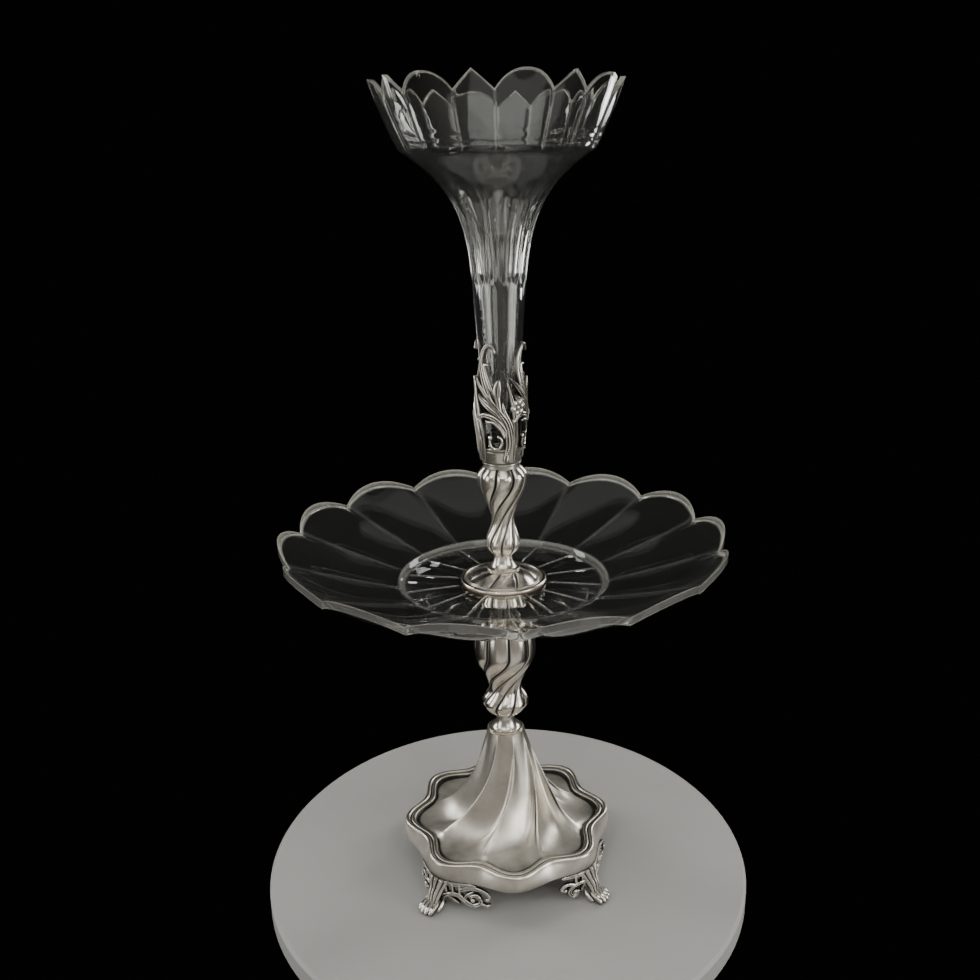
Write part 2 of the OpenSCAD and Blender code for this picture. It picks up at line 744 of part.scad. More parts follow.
// One spray: the main stem, the stem beside it, a big C, a low leaf, a spoon, a tall curl, a side leaf,
// an inner curl and a volute
module leaf_spray() {
    leaf([[9, 0.06, 1], [15, 0.2, 0.93], [8, 0.36, 0.85], [-12, 0.475, 0.76], [-44, 0.61, 0.63],
          [-72, 0.72, 0.21]], 0.35);
    leaf([[28, 0.06, 0.76], [26, 0.21, 0.68], [18, 0.35, 0.55], [4, 0.46, 0.47], [-1, 0.54, 0.21]], 0.23);
    leaf([[12, 0.27, 0.55], [-8, 0.38, 0.63], [-30, 0.43, 0.63], [-52, 0.43, 0.55], [-65, 0.38, 0.38]], 0.27);
    leaf([[-2, 0.42, 0.51], [-30, 0.5, 0.93], [-50, 0.55, 0.8], [-64, 0.59, 0.21]], 0.15);
    leaf([[-6, 0.46, 0.38], [-12, 0.56, 0.63], [-13, 0.64, 1.02], [-9, 0.71, 0.38]], 0.19);
    leaf([[-26, 0.53, 0.59], [-45, 0.7, 0.8], [-52, 0.84, 0.63], [-42, 0.94, 0.47], [-28, 0.965, 0.38],
          [-16, 0.91, 0.25]], 0.12);
    leaf([[-70, 0.06, 0.76], [-62, 0.22, 0.68], [-62, 0.37, 0.59], [-68, 0.53, 0.51],
          [-80, 0.69, 0.17]], 0.19);
    leaf([[-22, 0.6, 0.5], [-38, 0.73, 0.46], [-43, 0.815, 0.36], [-33, 0.82, 0.24]], 0.15);
    leaf([[13, 0.28, 0.55], [-9, 0.26, 0.55], [-8, 0.17, 0.55], [-26, 0.13, 0.51], [-45, 0.2, 0.47],
          [-38, 0.28, 0.42], [-26, 0.25, 0.3]], 0.23);
    leaf_eye(-27, 0.23, 0.55);
    leaf_eye(-65, 0.39, 0.68);
}

module leaf_calyx() {
    band_in = socket_r + socket_wall + vase_gap / 2;
    steps = 2;
    band = [for (i = [0:steps])
        let (z = mix(z_calyx, z_calyx + band_h, i / steps))
        [calyx_skin(0, z), z]];
    color("silver")
    union() {
        rotate_extrude($fn = 32)
            polygon(concat(band, [[band_in, z_calyx + band_h], [band_in, z_calyx]]));
        for (i = [0:sprays - 1])
            rotate(i * spray_angle - 90)
                leaf_spray();
        for (i = [0:2:sprays - 1])
            rotate(i * spray_angle - 90)
                leaf_flower(36, 0.47, 1.35);
    }
}

// Vase: a fluted trumpet under a bowl whose rim has round and pointed petals in turn
rim_pairs = 8;
round_steps = 5;
point_steps = 2;
pair_steps = round_steps + point_steps;
pair_angle = 360 / rim_pairs;
crease_depth = 0.8;
flute_depth = 0.7;
vase_floor_h = 22;

// Angle, share across its petal and kind of petal at step j round the vase
function rim_angle(j) =
    let (k = j % pair_steps, pair = floor(j / pair_steps))
    pair * pair_angle + (k < round_steps
        ? mix(-round_petal_angle / 2, round_petal_angle / 2, k / round_steps)
        : mix(round_petal_angle / 2, pair_angle - round_petal_angle / 2, (k - round_steps) / point_steps));

function rim_share(j) =
    let (k = j % pair_steps)
    k < round_steps ? k / round_steps : (k - round_steps) / point_steps;

function rim_rise(j) =
    j % pair_steps < round_steps ? arch(rim_share(j)) : 1 - abs(2 * rim_share(j) - 1);

// Outer radius at height h above the vase's foot
function trumpet_r(h) =
    let (s = (h - vase_neck_h) / (vase_shoulder_h - vase_neck_h))
    h < vase_neck_h ? mix(vase_foot_r, vase_neck_r, h / vase_neck_h) :
    vase_neck_r + (vase_shoulder_r - vase_neck_r) * mix(pow(s, 5), s, taper_share);

function vase_ring(h, r, crease) = [for (j = [0:rim_pairs * pair_steps - 1])
    polar([r - crease * (1 - arch(rim_share(j))), rim_angle(j) + vase_turn - 90, z_vase + h])];

function rim_ring(inset) = [for (j = [0:rim_pairs * pair_steps - 1])
    polar([vase_rim_r - inset - (vase_rim_r - vase_shoulder_r) * vase_notch / vase_bowl_h * (1 - rim_rise(j)),
           rim_angle(j) + vase_turn - 90, z_vase + vase_h - vase_notch * (1 - rim_rise(j))])];

module glass_vase() {
    trumpet = vase_shoulder_h - vase_neck_h;
    outside = [for (s = [0, 0.28, 0.5, 0.68, 0.8, 0.89, 0.95, 1])
        vase_ring(vase_neck_h + trumpet * s, trumpet_r(vase_neck_h + trumpet * s),
                  flute_depth * sin(180 * min(1, s * 1.08)))];
    inside = [for (s = [1, 0.9, 0.72, 0.3])
        let (h = vase_neck_h + trumpet * s)
        vase_ring(h + 2, trumpet_r(h) - vase_wall_t, 0)];
    bowl_h = vase_shoulder_h + vase_bowl_h * 0.45;
    bowl_r = mix(vase_shoulder_r, vase_rim_r, 0.45);
    color("lightgray", 0.5)
    loft(concat(
        [vase_ring(0, vase_foot_r - 1.5, 0), vase_ring(2, vase_foot_r, 0)],
        outside,
        [vase_ring(bowl_h, bowl_r, crease_depth), rim_ring(0),
         rim_ring(vase_wall_t), vase_ring(bowl_h, bowl_r - vase_wall_t, crease_depth)],
        inside,
        [vase_ring(vase_floor_h, trumpet_r(vase_floor_h) - vase_wall_t, 0)]));
}

foot_dome();
foot_rim();
scroll_foot(1);  // scroll_foot_1
scroll_foot(2);  // scroll_foot_2
scroll_foot(3);  // scroll_foot_3
scroll_foot(4);  // scroll_foot_4
tie_rod();
rod_washer();
rod_nut();
lower_collar();
lower_baluster();
dish_rest();
lower_cork_washer();
glass_dish();
upper_cork_washer();
clamp_rosette();
rosette_retainer();
upper_collar();
upper_baluster();
threaded_bush();
vase_socket();
socket_screw();
leaf_calyx();
vase_pad();
glass_vase();
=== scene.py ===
"""The looks of a silver and glass epergne, laid over its packed construction."""

import logging
import math
from dataclasses import dataclass, field, replace
from enum import Enum
from typing import Callable, Sequence

import bpy
import numpy as np
from mathutils import Euler, Matrix, Vector


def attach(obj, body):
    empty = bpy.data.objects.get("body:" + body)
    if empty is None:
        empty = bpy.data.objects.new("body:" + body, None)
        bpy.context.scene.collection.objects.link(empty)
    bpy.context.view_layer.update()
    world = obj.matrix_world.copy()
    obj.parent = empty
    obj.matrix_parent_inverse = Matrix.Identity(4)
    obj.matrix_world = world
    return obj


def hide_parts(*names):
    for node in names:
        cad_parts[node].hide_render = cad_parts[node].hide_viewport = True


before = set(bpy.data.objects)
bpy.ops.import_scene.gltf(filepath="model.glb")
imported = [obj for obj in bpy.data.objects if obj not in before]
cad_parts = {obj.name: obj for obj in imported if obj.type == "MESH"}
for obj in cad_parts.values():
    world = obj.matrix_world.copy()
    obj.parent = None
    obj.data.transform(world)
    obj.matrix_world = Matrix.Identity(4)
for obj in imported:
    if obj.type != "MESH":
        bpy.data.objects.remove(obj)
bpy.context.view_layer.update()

log = logging.getLogger("epergne")
Array = np.ndarray
Node = bpy.types.Node
Socket = bpy.types.NodeSocket
Object = bpy.types.Object
Colour = tuple[float, float, float, float]
Path = Sequence[Sequence[float]]
Surface = Callable[[Array, Array], Array]
MM = 0.001
# Point mark: tarnish and painted shade on silver, olive tint and painted highlight lines on glass.
TARNISH_AND_PAINTED_LIGHT = "tarnish_and_painted_light"


class Slot(Enum):
    """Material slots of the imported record."""

    SILVER = "antique_silver"
    GLASS = "clear_glass"
    BRASS = "brass_fixing"
    CORK = "cork"


class Body(Enum):
    """Bodies of the motion tree that a piece can ride on."""

    STAND = "stand"
    CLAMP = "clamp"
    UPPER_STEM = "upper_stem"
    VASE = "vase"


class Crest(Enum):
    """Cross-sections of a chased leaf or scroll."""

    ROUND = "round"
    VEINED = "veined"
    STRANDS = "strands"

    def height(self, q: Array) -> Array:
        """Shape the relief across a leaf.

        Args:
            q: Places across the leaf, from -1 to 1.

        Returns:
            Share of the full relief at each place.
        """
        dome = np.sqrt(np.clip(1 - q**2, 0, 1))
        if self is Crest.VEINED:
            return dome * (1 - 0.6 * hill(q, 0.0, 0.2))
        if self is Crest.STRANDS:
            return dome * (0.68 + 0.32 * np.cos(3 * np.pi * q))
        return dome

    def crevice_shade_and_tarnish(self, q: Array) -> Array:
        """Darken a leaf at the foot of its flanks and along its veins: tarnish and painted shade.

        Args:
            q: Places across the leaf, from -1 to 1.

        Returns:
            Share of tarnish and painted shade at each place.
        """
        flanks = 1.6 - 2.3 * np.sqrt(np.clip(1 - q**2, 0, 1))
        veins = 0 * q
        if self is Crest.VEINED:
            veins = hill(q, 0.0, 0.22)
        if self is Crest.STRANDS:
            veins = (0.5 - 0.5 * np.cos(3 * np.pi * q)) ** 2
        return np.clip(np.maximum(flanks, veins), 0, 1)


def mix(a: Array, b: Array, t: Array) -> Array:
    """Value at share t of the way from a to b."""
    return a + (b - a) * t


def ease(t: Array) -> Array:
    """Share t with a slow start and a slow end."""
    return (1 - np.cos(np.pi * np.clip(t, 0, 1))) / 2


def arch(u: Array) -> Array:
    """A parabola that is 0 at both ends of a share and 1 in its middle."""
    return 1 - (2 * u - 1) ** 2


def hill(x: Array, centre: float, width: float) -> Array:
    """A soft bump of height 1."""
    return np.exp(-(((x - centre) / width) ** 2))


def round_steps(count: int) -> Array:
    """Angles of even steps round a circle, in degrees."""
    return np.arange(count) * 360 / count


def polar(r: Array, degrees: Array, z: Array) -> Array:
    """Place points round the upright axis.

    Args:
        r: Their radii.
        degrees: Their angles.
        z: Their heights.

    Returns:
        The points, as an array that ends in x, y, z.
    """
    r, degrees, z = np.broadcast_arrays(r, degrees, z)
    turn = np.radians(degrees)
    return np.stack([r * np.cos(turn), r * np.sin(turn), z], -1)


def spline(points: Path, steps: int) -> Array:
    """Draw a smooth line through control points of any width.

    Args:
        points: The control points, in order.
        steps: Stretches between two neighbouring control points.

    Returns:
        The points of the line, control points included.
    """
    p = np.asarray(points, float)
    p = np.vstack([2 * p[0] - p[1], p, 2 * p[-1] - p[-2]])
    t = (np.arange(steps) / steps)[:, None]
    runs = [
        (2 * b + (c - a) * t + (2 * a - 5 * b + 4 * c - d) * t**2 + (3 * (b - c) + d - a) * t**3) / 2
        for a, b, c, d in zip(p, p[1:], p[2:], p[3:])
    ]
    return np.vstack(runs + [p[-2:-1]])


def turned(points: Array, degrees: float) -> Array:
    """Points turned about the upright axis."""
    c, s = math.cos(math.radians(degrees)), math.sin(math.radians(degrees))
    return points @ np.array([[c, s, 0], [-s, c, 0], [0, 0, 1]])


def rgb(r: float, g: float, b: float) -> Colour:
    """An opaque colour."""
    return (r, g, b, 1.0)


class Graph:
    """Short hand for laying out a node tree."""

    def __init__(self, tree: bpy.types.NodeTree) -> None:
        """Take hold of a tree."""
        self.tree = tree

    @classmethod
    def blank(cls, owner: bpy.types.ID) -> "Graph":
        """Empty the tree of a material or a world.

        Args:
            owner: The material or world.

        Returns:
            The graph of its tree.
        """
        owner.use_nodes = True
        owner.node_tree.nodes.clear()
        return cls(owner.node_tree)

    def feed(self, socket: Socket, value: object) -> None:
        """Fill a socket.

        Args:
            socket: The socket.
            value: A socket to link to it, a value for it, or None to leave it.
        """
        if isinstance(value, Socket):
            self.tree.links.new(value, socket)
        elif value is not None:
            socket.default_value = value

    def node(self, kind: str, *inputs: object, **settings: object) -> Node:
        """Add a node.

        Args:
            kind: Type name of the node.
            inputs: What goes into its sockets by place.
            settings: Its properties, and, under names with a capital, what goes into its sockets.

        Returns:
            The node.
        """
        made = self.tree.nodes.new(kind)
        named = {key: value for key, value in settings.items() if key[0].isupper()}
        for key, value in settings.items():
            if key not in named:
                setattr(made, key, value)
        for socket, value in zip(made.inputs, inputs):
            self.feed(socket, value)
        for key, value in named.items():
            self.feed(made.inputs[key.replace("_", " ")], value)
        return made

    def math(self, operation: str, *inputs: object, clamp: bool = False) -> Socket:
        """Output of a math node."""
        return self.node("ShaderNodeMath", *inputs, operation=operation, use_clamp=clamp).outputs[0]

    def blend(self, share: object, a: object, b: object) -> Socket:
        """Colour at a share of the way from colour a to colour b; the node's other sockets are left."""
        left = [None] * 5
        return self.node("ShaderNodeMix", share, *left, a, b, data_type="RGBA", clamp_factor=True).outputs[2]

    def span(self, value: object, low: float, high: float, start: float = 0.0, end: float = 1.0) -> Socket:
        """A value between start and end, laid out from low to high."""
        return self.node("ShaderNodeMapRange", value, start, end, low, high).outputs[0]

    def noise(self, place: Socket, scale: float, detail: float) -> Socket:
        """A cloudy share between 0 and 1."""
        return self.node("ShaderNodeTexNoise", place, Scale=scale, Detail=detail).outputs[0]

    def bump(self, strength: float, depth: float, height: Socket) -> Socket:
        """A normal that follows a height."""
        return self.node("ShaderNodeBump", Strength=strength, Distance=depth, Height=height).outputs[0]

    def tarnish_and_painted_light(self) -> Socket:
        """The mark that the points of a piece carry: tarnish and painted shade on silver, olive tint and
        painted highlight on glass.
        """
        return self.node("ShaderNodeAttribute", attribute_name=TARNISH_AND_PAINTED_LIGHT).outputs["Fac"]


@dataclass(frozen=True)
class Finish:
    """A surface finish, made into a material the first time it is used."""

    name: str
    slot: Slot

    def material(self) -> bpy.types.Material:
        """Find the finish's material, or make it.

        Returns:
            The material.
        """
        made = bpy.data.materials.get(self.name)
        if not made:
            made = bpy.data.materials.new(self.name)
            graph = Graph.blank(made)
            place = graph.node("ShaderNodeTexCoord").outputs["Object"]
            shader = graph.node("ShaderNodeBsdfPrincipled", **self.dress(graph, place))
            graph.node("ShaderNodeOutputMaterial", shader.outputs[0])
        return made

    def dress(self, graph: Graph, place: Socket) -> dict[str, object]:
        """Lay out the finish; each kind has its own way.

        Args:
            graph: The material's graph.
            place: Where on the piece a point lies.

        Returns:
            What goes into the shader's sockets.
        """
        raise NotImplementedError


@dataclass(frozen=True)
class Silver(Finish):
    """Old silver plate: bright on the crests and black in its hollows, partly tarnish where polish never
    reaches and partly painted shade.
    """

    slot: Slot = Slot.SILVER
    bright: Colour = rgb(0.80, 0.77, 0.71)
    stain: Colour = rgb(0.50, 0.46, 0.39)
    # Near-black colour of tarnish and of painted shade in the hollows.
    tarnish_and_shade: Colour = rgb(0.018, 0.016, 0.013)
    roughness: tuple[float, float] = (0.17, 0.38)
    staining: float = 0.75
    # Strength of the shade painted into the colour from ambient occlusion.
    occlusion_shade: float = 0.0
    waviness: float = 0.12
    cloud_scale: float = 55.0
    grain_scale: float = 900.0
    wave_scale: float = 190.0
    occlusion_shade_reach: float = 0.004
    tool_depth: float = 0.0006

    def dress(self, graph: Graph, place: Socket) -> dict[str, object]:
        """Mix polished and stained silver with near-black tarnish and painted shade, including shade painted
        from ambient occlusion.

        Args:
            graph: The material's graph.
            place: Where on the piece a point lies.

        Returns:
            What goes into the shader's sockets.
        """
        cloud = graph.noise(place, self.cloud_scale, 5.0)
        grain = graph.noise(place, self.grain_scale, 3.0)
        wave = graph.noise(place, self.wave_scale, 2.0)
        tarnish_and_shade = graph.tarnish_and_painted_light()
        # Ambient occlusion darkens the colour where nearby surfaces hide the room: painted shade.
        if self.occlusion_shade:
            occlusion = graph.node("ShaderNodeAmbientOcclusion", Distance=self.occlusion_shade_reach, samples=6)
            hidden = graph.math("SUBTRACT", 1.0, occlusion.outputs["AO"])
            tarnish_and_shade = graph.math("MULTIPLY_ADD", hidden, self.occlusion_shade, tarnish_and_shade)
        ragged_tarnish_and_shade = graph.math("MULTIPLY", tarnish_and_shade, graph.span(cloud, 0.55, 1.45), clamp=True)
        stained = graph.math("MULTIPLY", graph.span(cloud, 0.0, 1.0, 0.42, 0.72), self.staining)
        plate = graph.blend(stained, self.bright, self.stain)
        rough = graph.math("MULTIPLY", ragged_tarnish_and_shade, 0.25)
        tool = graph.math("ADD", graph.math("MULTIPLY", grain, 0.05), wave)
        return {
            "Base_Color": graph.blend(ragged_tarnish_and_shade, plate, self.tarnish_and_shade),
            "Metallic": graph.math("SUBTRACT", 1.0, graph.math("MULTIPLY", ragged_tarnish_and_shade, 0.6)),
            "Roughness": graph.math("ADD", graph.span(cloud, *self.roughness), rough),
            "Normal": graph.bump(self.waviness, self.tool_depth, tool),
        }


@dataclass(frozen=True)
class Glass(Finish):
    """Old clear glass, faintly wavy, with an olive cast and painted milky highlights along its marked edges.
    """

    slot: Slot = Slot.GLASS
    clear: Colour = rgb(0.97, 0.975, 0.935)
    # Olive cast of thick glass, also the colour of the painted highlight lines.
    edge: Colour = rgb(0.74, 0.72, 0.54)
    haze: float = 0.005
    frosted_glint: float = 0.4
    ior: float = 1.5
    waviness: float = 0.03
    wave_scale: float = 70.0
    wave_depth: float = 0.002
    smear_scale: float = 24.0
    smear_rough: float = 0.02

    def dress(self, graph: Graph, place: Socket) -> dict[str, object]:
        """Make it transparent, tinted olive and frosted into painted highlights by the mark that the edges
        carry.

        Args:
            graph: The material's graph.
            place: Where on the piece a point lies.

        Returns:
            What goes into the shader's sockets.
        """
        edge_tint_and_glint = graph.tarnish_and_painted_light()
        wave = graph.noise(place, self.wave_scale, 2.0)
        smear = graph.noise(place, self.smear_scale, 4.0)
        frosted_glint = graph.math("MULTIPLY", edge_tint_and_glint, self.frosted_glint)
        return {
            "Base_Color": graph.blend(edge_tint_and_glint, self.clear, self.edge),
            "Roughness": graph.span(smear, 0.0, self.smear_rough, 0.45, 0.8),
            "IOR": self.ior,
            "Transmission_Weight": graph.math("SUBTRACT", 1.0 - self.haze, frosted_glint),
            "Normal": graph.bump(self.waviness, self.wave_depth, wave),
        }


@dataclass(frozen=True)
class Brass(Finish):
    """Turned brass of the hidden fixings."""

    slot: Slot = Slot.BRASS
    metal: Colour = rgb(0.68, 0.49, 0.22)
    dull: Colour = rgb(0.34, 0.25, 0.13)
    roughness: tuple[float, float] = (0.2, 0.5)
    cloud_scale: float = 160.0

    def dress(self, graph: Graph, place: Socket) -> dict[str, object]:
        """Mix bright and dulled brass.

        Args:
            graph: The material's graph.
            place: Where on the piece a point lies.

        Returns:
            What goes into the shader's sockets.
        """
        cloud = graph.noise(place, self.cloud_scale, 4.0)
        return {
            "Base_Color": graph.blend(cloud, self.metal, self.dull),
            "Metallic": 1.0,
            "Roughness": graph.span(cloud, *self.roughness),
        }


@dataclass(frozen=True)
class Cork(Finish):
    """Pressed cork of the washers and the pad."""

    slot: Slot = Slot.CORK
    pale: Colour = rgb(0.14, 0.085, 0.045)
    dark: Colour = rgb(0.04, 0.023, 0.013)
    roughness: float = 0.85
    cell_scale: float = 700.0
    cell_depth: float = 0.0004
    cloud_scale: float = 260.0

    def dress(self, graph: Graph, place: Socket) -> dict[str, object]:
        """Mix grains of two browns.

        Args:
            graph: The material's graph.
            place: Where on the piece a point lies.

        Returns:
            What goes into the shader's sockets.
        """
        cells = graph.node("ShaderNodeTexVoronoi", place, Scale=self.cell_scale).outputs["Distance"]
        grain = graph.math("MULTIPLY", cells, graph.noise(place, self.cloud_scale, 4.0))
        return {
            "Base_Color": graph.blend(grain, self.pale, self.dark),
            "Roughness": self.roughness,
            "Normal": graph.bump(0.4, self.cell_depth, cells),
        }


SMOOTH_SILVER = Silver("smooth silver")
# Chased, foot, stem and dome silver paint shade from ambient occlusion into their colour.
CHASED_SILVER = Silver(
    "chased silver", bright=rgb(0.97, 0.92, 0.82), roughness=(0.12, 0.2), occlusion_shade=1.3, waviness=0.06
)
FOOT_SILVER = replace(CHASED_SILVER, name="foot silver", occlusion_shade=1.4)
STEM_SILVER = Silver(
    "stem silver", bright=rgb(0.88, 0.82, 0.72), roughness=(0.2, 0.27), staining=0.15, occlusion_shade=0.5,
    waviness=0.03,
)
DOME_SILVER = replace(
    STEM_SILVER, name="dome silver", bright=rgb(0.93, 0.87, 0.76), roughness=(0.25, 0.42), staining=0.8,
    occlusion_shade=0.25,
)
VASE_GLASS = Glass("vase glass")
DISH_GLASS = Glass("dish glass", haze=0.006)
FIXING_BRASS = Brass("fixing brass")
PAD_CORK = Cork("pad cork")


def show(name: str, data: bpy.types.ID) -> Object:
    """Put a new object into the scene.

    Args:
        name: Its name.
        data: The mesh, light or camera that it holds.

    Returns:
        The object.
    """
    made = bpy.data.objects.new(name, data)
    bpy.context.scene.collection.objects.link(made)
    return made


def settle(piece: Object, finish: Finish, body: Body, *nodes: str) -> Object:
    """Give a finished piece its material, its body and the nodes it stands for.

    Args:
        piece: The piece.
        finish: What it is made of.
        body: What it moves with.
        nodes: Names of the construction nodes it replaces.

    Returns:
        The piece.
    """
    piece.data.materials.clear()
    piece.data.materials.append(finish.material())
    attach(piece, body.value)
    if nodes:
        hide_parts(*nodes)
    log.info("%s: %d faces in %s", piece.name, len(piece.data.polygons), finish.name)
    return piece


LEAF_PLACES = 15
LEAF_MIN_W = 0.25
LEAF_END = 0.45
BAR_MIN_R = 0.1
BAR_END = 0.55
BAR_SIDES = 14


@dataclass
class Skin:
    """Closed surfaces of one piece while it is put together, in millimetres."""

    points: list[Array] = field(default_factory=list)
    faces: list[Array] = field(default_factory=list)
    marks: list[Array] = field(default_factory=list)
    count: int = 0

    def add(self, points: Array, faces: Sequence[Array], mark: Array) -> None:
        """Add one closed surface, turned so that its faces look outward.

        Args:
            points: Its points.
            faces: Blocks of three-sided and four-sided faces.
            mark: Mark of each point from 0 to 1; on silver, from bright to black tarnish and painted shade;
                on glass, olive tint and painted highlight.
        """
        halves = [[f] if f.shape[1] == 3 else [f[:, :3], f[:, [0, 2, 3]]] for f in faces]
        corners = np.vstack([half for pair in halves for half in pair])
        a, b, c = (points[corners[:, i]] for i in range(3))
        outward = np.einsum("ij,ij->", a, np.cross(b, c)) > 0
        self.points.append(points)
        self.marks.append(np.asarray(mark, float))
        self.faces += [(f if outward else f[:, ::-1]) + self.count for f in faces]
        self.count += len(points)

    def loft(self, rings: Array, mark: Array | float = 0.0, hoop: bool = False) -> None:
        """Add a closed surface through closed rings of points.

        Args:
            rings: Points by ring, place on the ring and axis.
            mark: Tarnish and painted light by ring and place, or anything that spreads to that shape.
            hoop: True when the last ring joins the first; otherwise both ends are capped.
        """
        m, k = rings.shape[:2]
        index = np.arange(m * k).reshape(m, k)
        near, far = (index, np.roll(index, -1, 0)) if hoop else (index[:-1], index[1:])
        faces = [np.stack([near, np.roll(near, -1, 1), np.roll(far, -1, 1), far], -1).reshape(-1, 4)]
        points = rings.reshape(-1, 3)
        shade = np.broadcast_to(mark, (m, k))
        if not hoop:
            points = np.vstack([points, rings[[0, -1]].mean(1)])
            first = np.stack([np.roll(index[0], -1), index[0], np.full(k, m * k)], -1)
            last = np.stack([index[-1], np.roll(index[-1], -1), np.full(k, m * k + 1)], -1)
            faces += [first, last]
            shade = np.concatenate([shade.ravel(), shade[[0, -1]].mean(1)])
        self.add(points, faces, shade.ravel())

    def lathe(self, section: Path, mark: Array | float = 0.0, sides: int = 144) -> None:
        """Add a turned ring.

        Args:
            section: Its section, a loop of radius and height.
            mark: Tarnish and painted shade along the section.
            sides: Steps round it.
        """
        r, z = np.asarray(section, float).T
        shade = np.broadcast_to(mark, r.shape)
        self.loft(polar(r[:, None], round_steps(sides)[None], z[:, None]), shade[:, None], hoop=True)

    def frond(
        self, path: Path, surface: Surface, relief: float, depth: Callable[[Array], Array], crest: Crest
    ) -> None:
        """Add a leaf or scroll that follows a curved skin.

        Args:
            path: Degrees round, height and half-width of its control points.
            surface: Radius of the skin at degrees round and height.
            relief: How far its crest stands out of the skin.
            depth: How far its back lies inside the skin at a height.
            crest: Its cross-section.
        """
        turn, z, half = spline(path, 9).T
        half = np.maximum(half, LEAF_MIN_W)
        half[[0, -1]] *= LEAF_END
        r = surface(turn, z)
        run = np.arctan2(np.gradient(z), np.radians(np.gradient(turn)) * r)
        front = np.linspace(-1, 1, LEAF_PLACES)
        q = np.concatenate([front, [1.0, -1.0]])
        rise = np.concatenate([crest.height(front), [-1.0, -1.0]])
        across = q[None] * half[:, None]
        side_turn = turn[:, None] - np.degrees(across * np.sin(run)[:, None] / r[:, None])
        side_z = z[:, None] + across * np.cos(run)[:, None]
        out = relief * rise[None] * np.minimum(1, half)[:, None]
        lift = np.where(rise[None] < 0, -depth(z)[:, None], out)
        # Backs of the leaf are black, as painted shade under it; its face takes tarnish and painted shade in
        # its crevices.
        mark = np.where(rise < 0, 1.0, crest.crevice_shade_and_tarnish(q))
        self.loft(polar(surface(side_turn, side_z) + lift, side_turn, side_z), mark[None])

    def boss(self, at: float, degrees: float, z: float, r: float, height: float) -> None:
        """Add a rounded button that looks away from the axis.

        Args:
            at: How far its middle lies from the axis.
            degrees: Its angle round the axis.
            z: Height of its middle.
            r: Its radius.
            height: How far it stands out; it goes as deep behind.
        """
        out = polar(1.0, degrees, 0.0)
        out = out / np.linalg.norm(out)
        side = np.cross(out, [0.0, 0.0, 1.0])
        side = side / np.linalg.norm(side)
        up = np.cross(side, out)
        t = np.radians(np.linspace(-80, 80, 9))[:, None, None]
        a = np.radians(round_steps(BAR_SIDES))[None, :, None]
        flat = r * np.cos(t) * (np.cos(a) * side + np.sin(a) * up)
        rings = polar(at, degrees, z) + flat + height * np.sin(t) * out
        # Darker away from its crown, towards where it meets the skin: painted shade and tarnish.
        self.loft(rings, np.clip(1 - np.sin(t[..., 0]), 0, 1) * 0.6)

    def tube(self, path: Path, side_mark: float = 0.0) -> None:
        """Add a round bar.

        Args:
            path: Points of x, y, z and radius that it follows.
            side_mark: Painted shade and tarnish along its flanks.
        """
        line = spline(path, 8)
        centre, r = line[:, :3], np.maximum(line[:, 3], BAR_MIN_R)
        r[[0, -1]] *= BAR_END
        along = np.gradient(centre, axis=0)
        along /= np.linalg.norm(along, axis=1, keepdims=True)
        side = np.array([0.0, 1.0, 0.0]) - along * along[:, 1:2]
        side /= np.linalg.norm(side, axis=1, keepdims=True)
        up = np.cross(side, along)
        a = np.radians(round_steps(BAR_SIDES))[None, :, None]
        rings = centre[:, None] + r[:, None, None] * (np.cos(a) * side[:, None] + np.sin(a) * up[:, None])
        self.loft(rings, side_mark * np.abs(np.cos(a[..., 0])) ** 3)

    def join(self, other: "Skin") -> None:
        """Take over the surfaces of another skin.

        Args:
            other: The other skin.
        """
        self.points += other.points
        self.marks += other.marks
        self.faces += [f + self.count for f in other.faces]
        self.count += other.count

    def copy_round(self, degrees: Sequence[float]) -> "Skin":
        """Set the surfaces at several angles round the axis.

        Args:
            degrees: The angles.

        Returns:
            A skin of all the copies.
        """
        made = Skin()
        for angle in degrees:
            made.join(Skin([turned(p, angle) for p in self.points], self.faces, self.marks, self.count))
        return made

    def mesh(self, name: str) -> bpy.types.Mesh:
        """Make the surfaces into a mesh, in metres.

        Args:
            name: Name of the mesh.

        Returns:
            The mesh.
        """
        made = bpy.data.meshes.new(name)
        faces = [f for block in self.faces for f in block.tolist()]
        made.from_pydata((np.vstack(self.points) * MM).tolist(), [], faces)
        return made

    def piece(self, name: str, finish: Finish, body: Body, *nodes: str, sharp: float = 42.0) -> Object:
        """Make the surfaces into a settled object.

        Args:
            name: Name of the object.
            finish: What it is made of.
            body: What it moves with.
            nodes: Names of the construction nodes it replaces.
            sharp: Angle between faces above which an edge stays crisp.

        Returns:
            The object.
        """
        mesh = self.mesh(name)
        mesh.polygons.foreach_set("use_smooth", np.ones(len(mesh.polygons), bool))
        layer = mesh.attributes.new(TARNISH_AND_PAINTED_LIGHT, "FLOAT", "POINT")
        layer.data.foreach_set("value", np.concatenate(self.marks).astype(np.float32))
        mesh.set_sharp_from_angle(angle=math.radians(sharp))
        mesh.update()
        return settle(show(name, mesh), finish, body, *nodes)


def run_tree(host: Object, tree: bpy.types.NodeTree, values: dict[str, object]) -> None:
    """Run a geometry tree on a host with its inputs set, and keep the mesh it makes.

    Args:
        host: Object that takes the mesh.
        tree: The tree.
        values: Input values by input name.
    """
    modifier = host.modifiers.new(tree.name, "NODES")
    modifier.node_group = tree
    for item in tree.interface.items_tree:
        if item.item_type == "SOCKET" and item.in_out == "INPUT" and item.name in values:
            modifier[item.identifier] = values[item.name]
    host.update_tag()
    bpy.context.view_layer.update()
    depsgraph = bpy.context.evaluated_depsgraph_get()
    made = bpy.data.meshes.new_from_object(
        host.evaluated_get(depsgraph), preserve_all_data_layers=True, depsgraph=depsgraph
    )
    host.modifiers.clear()
    host.data = made


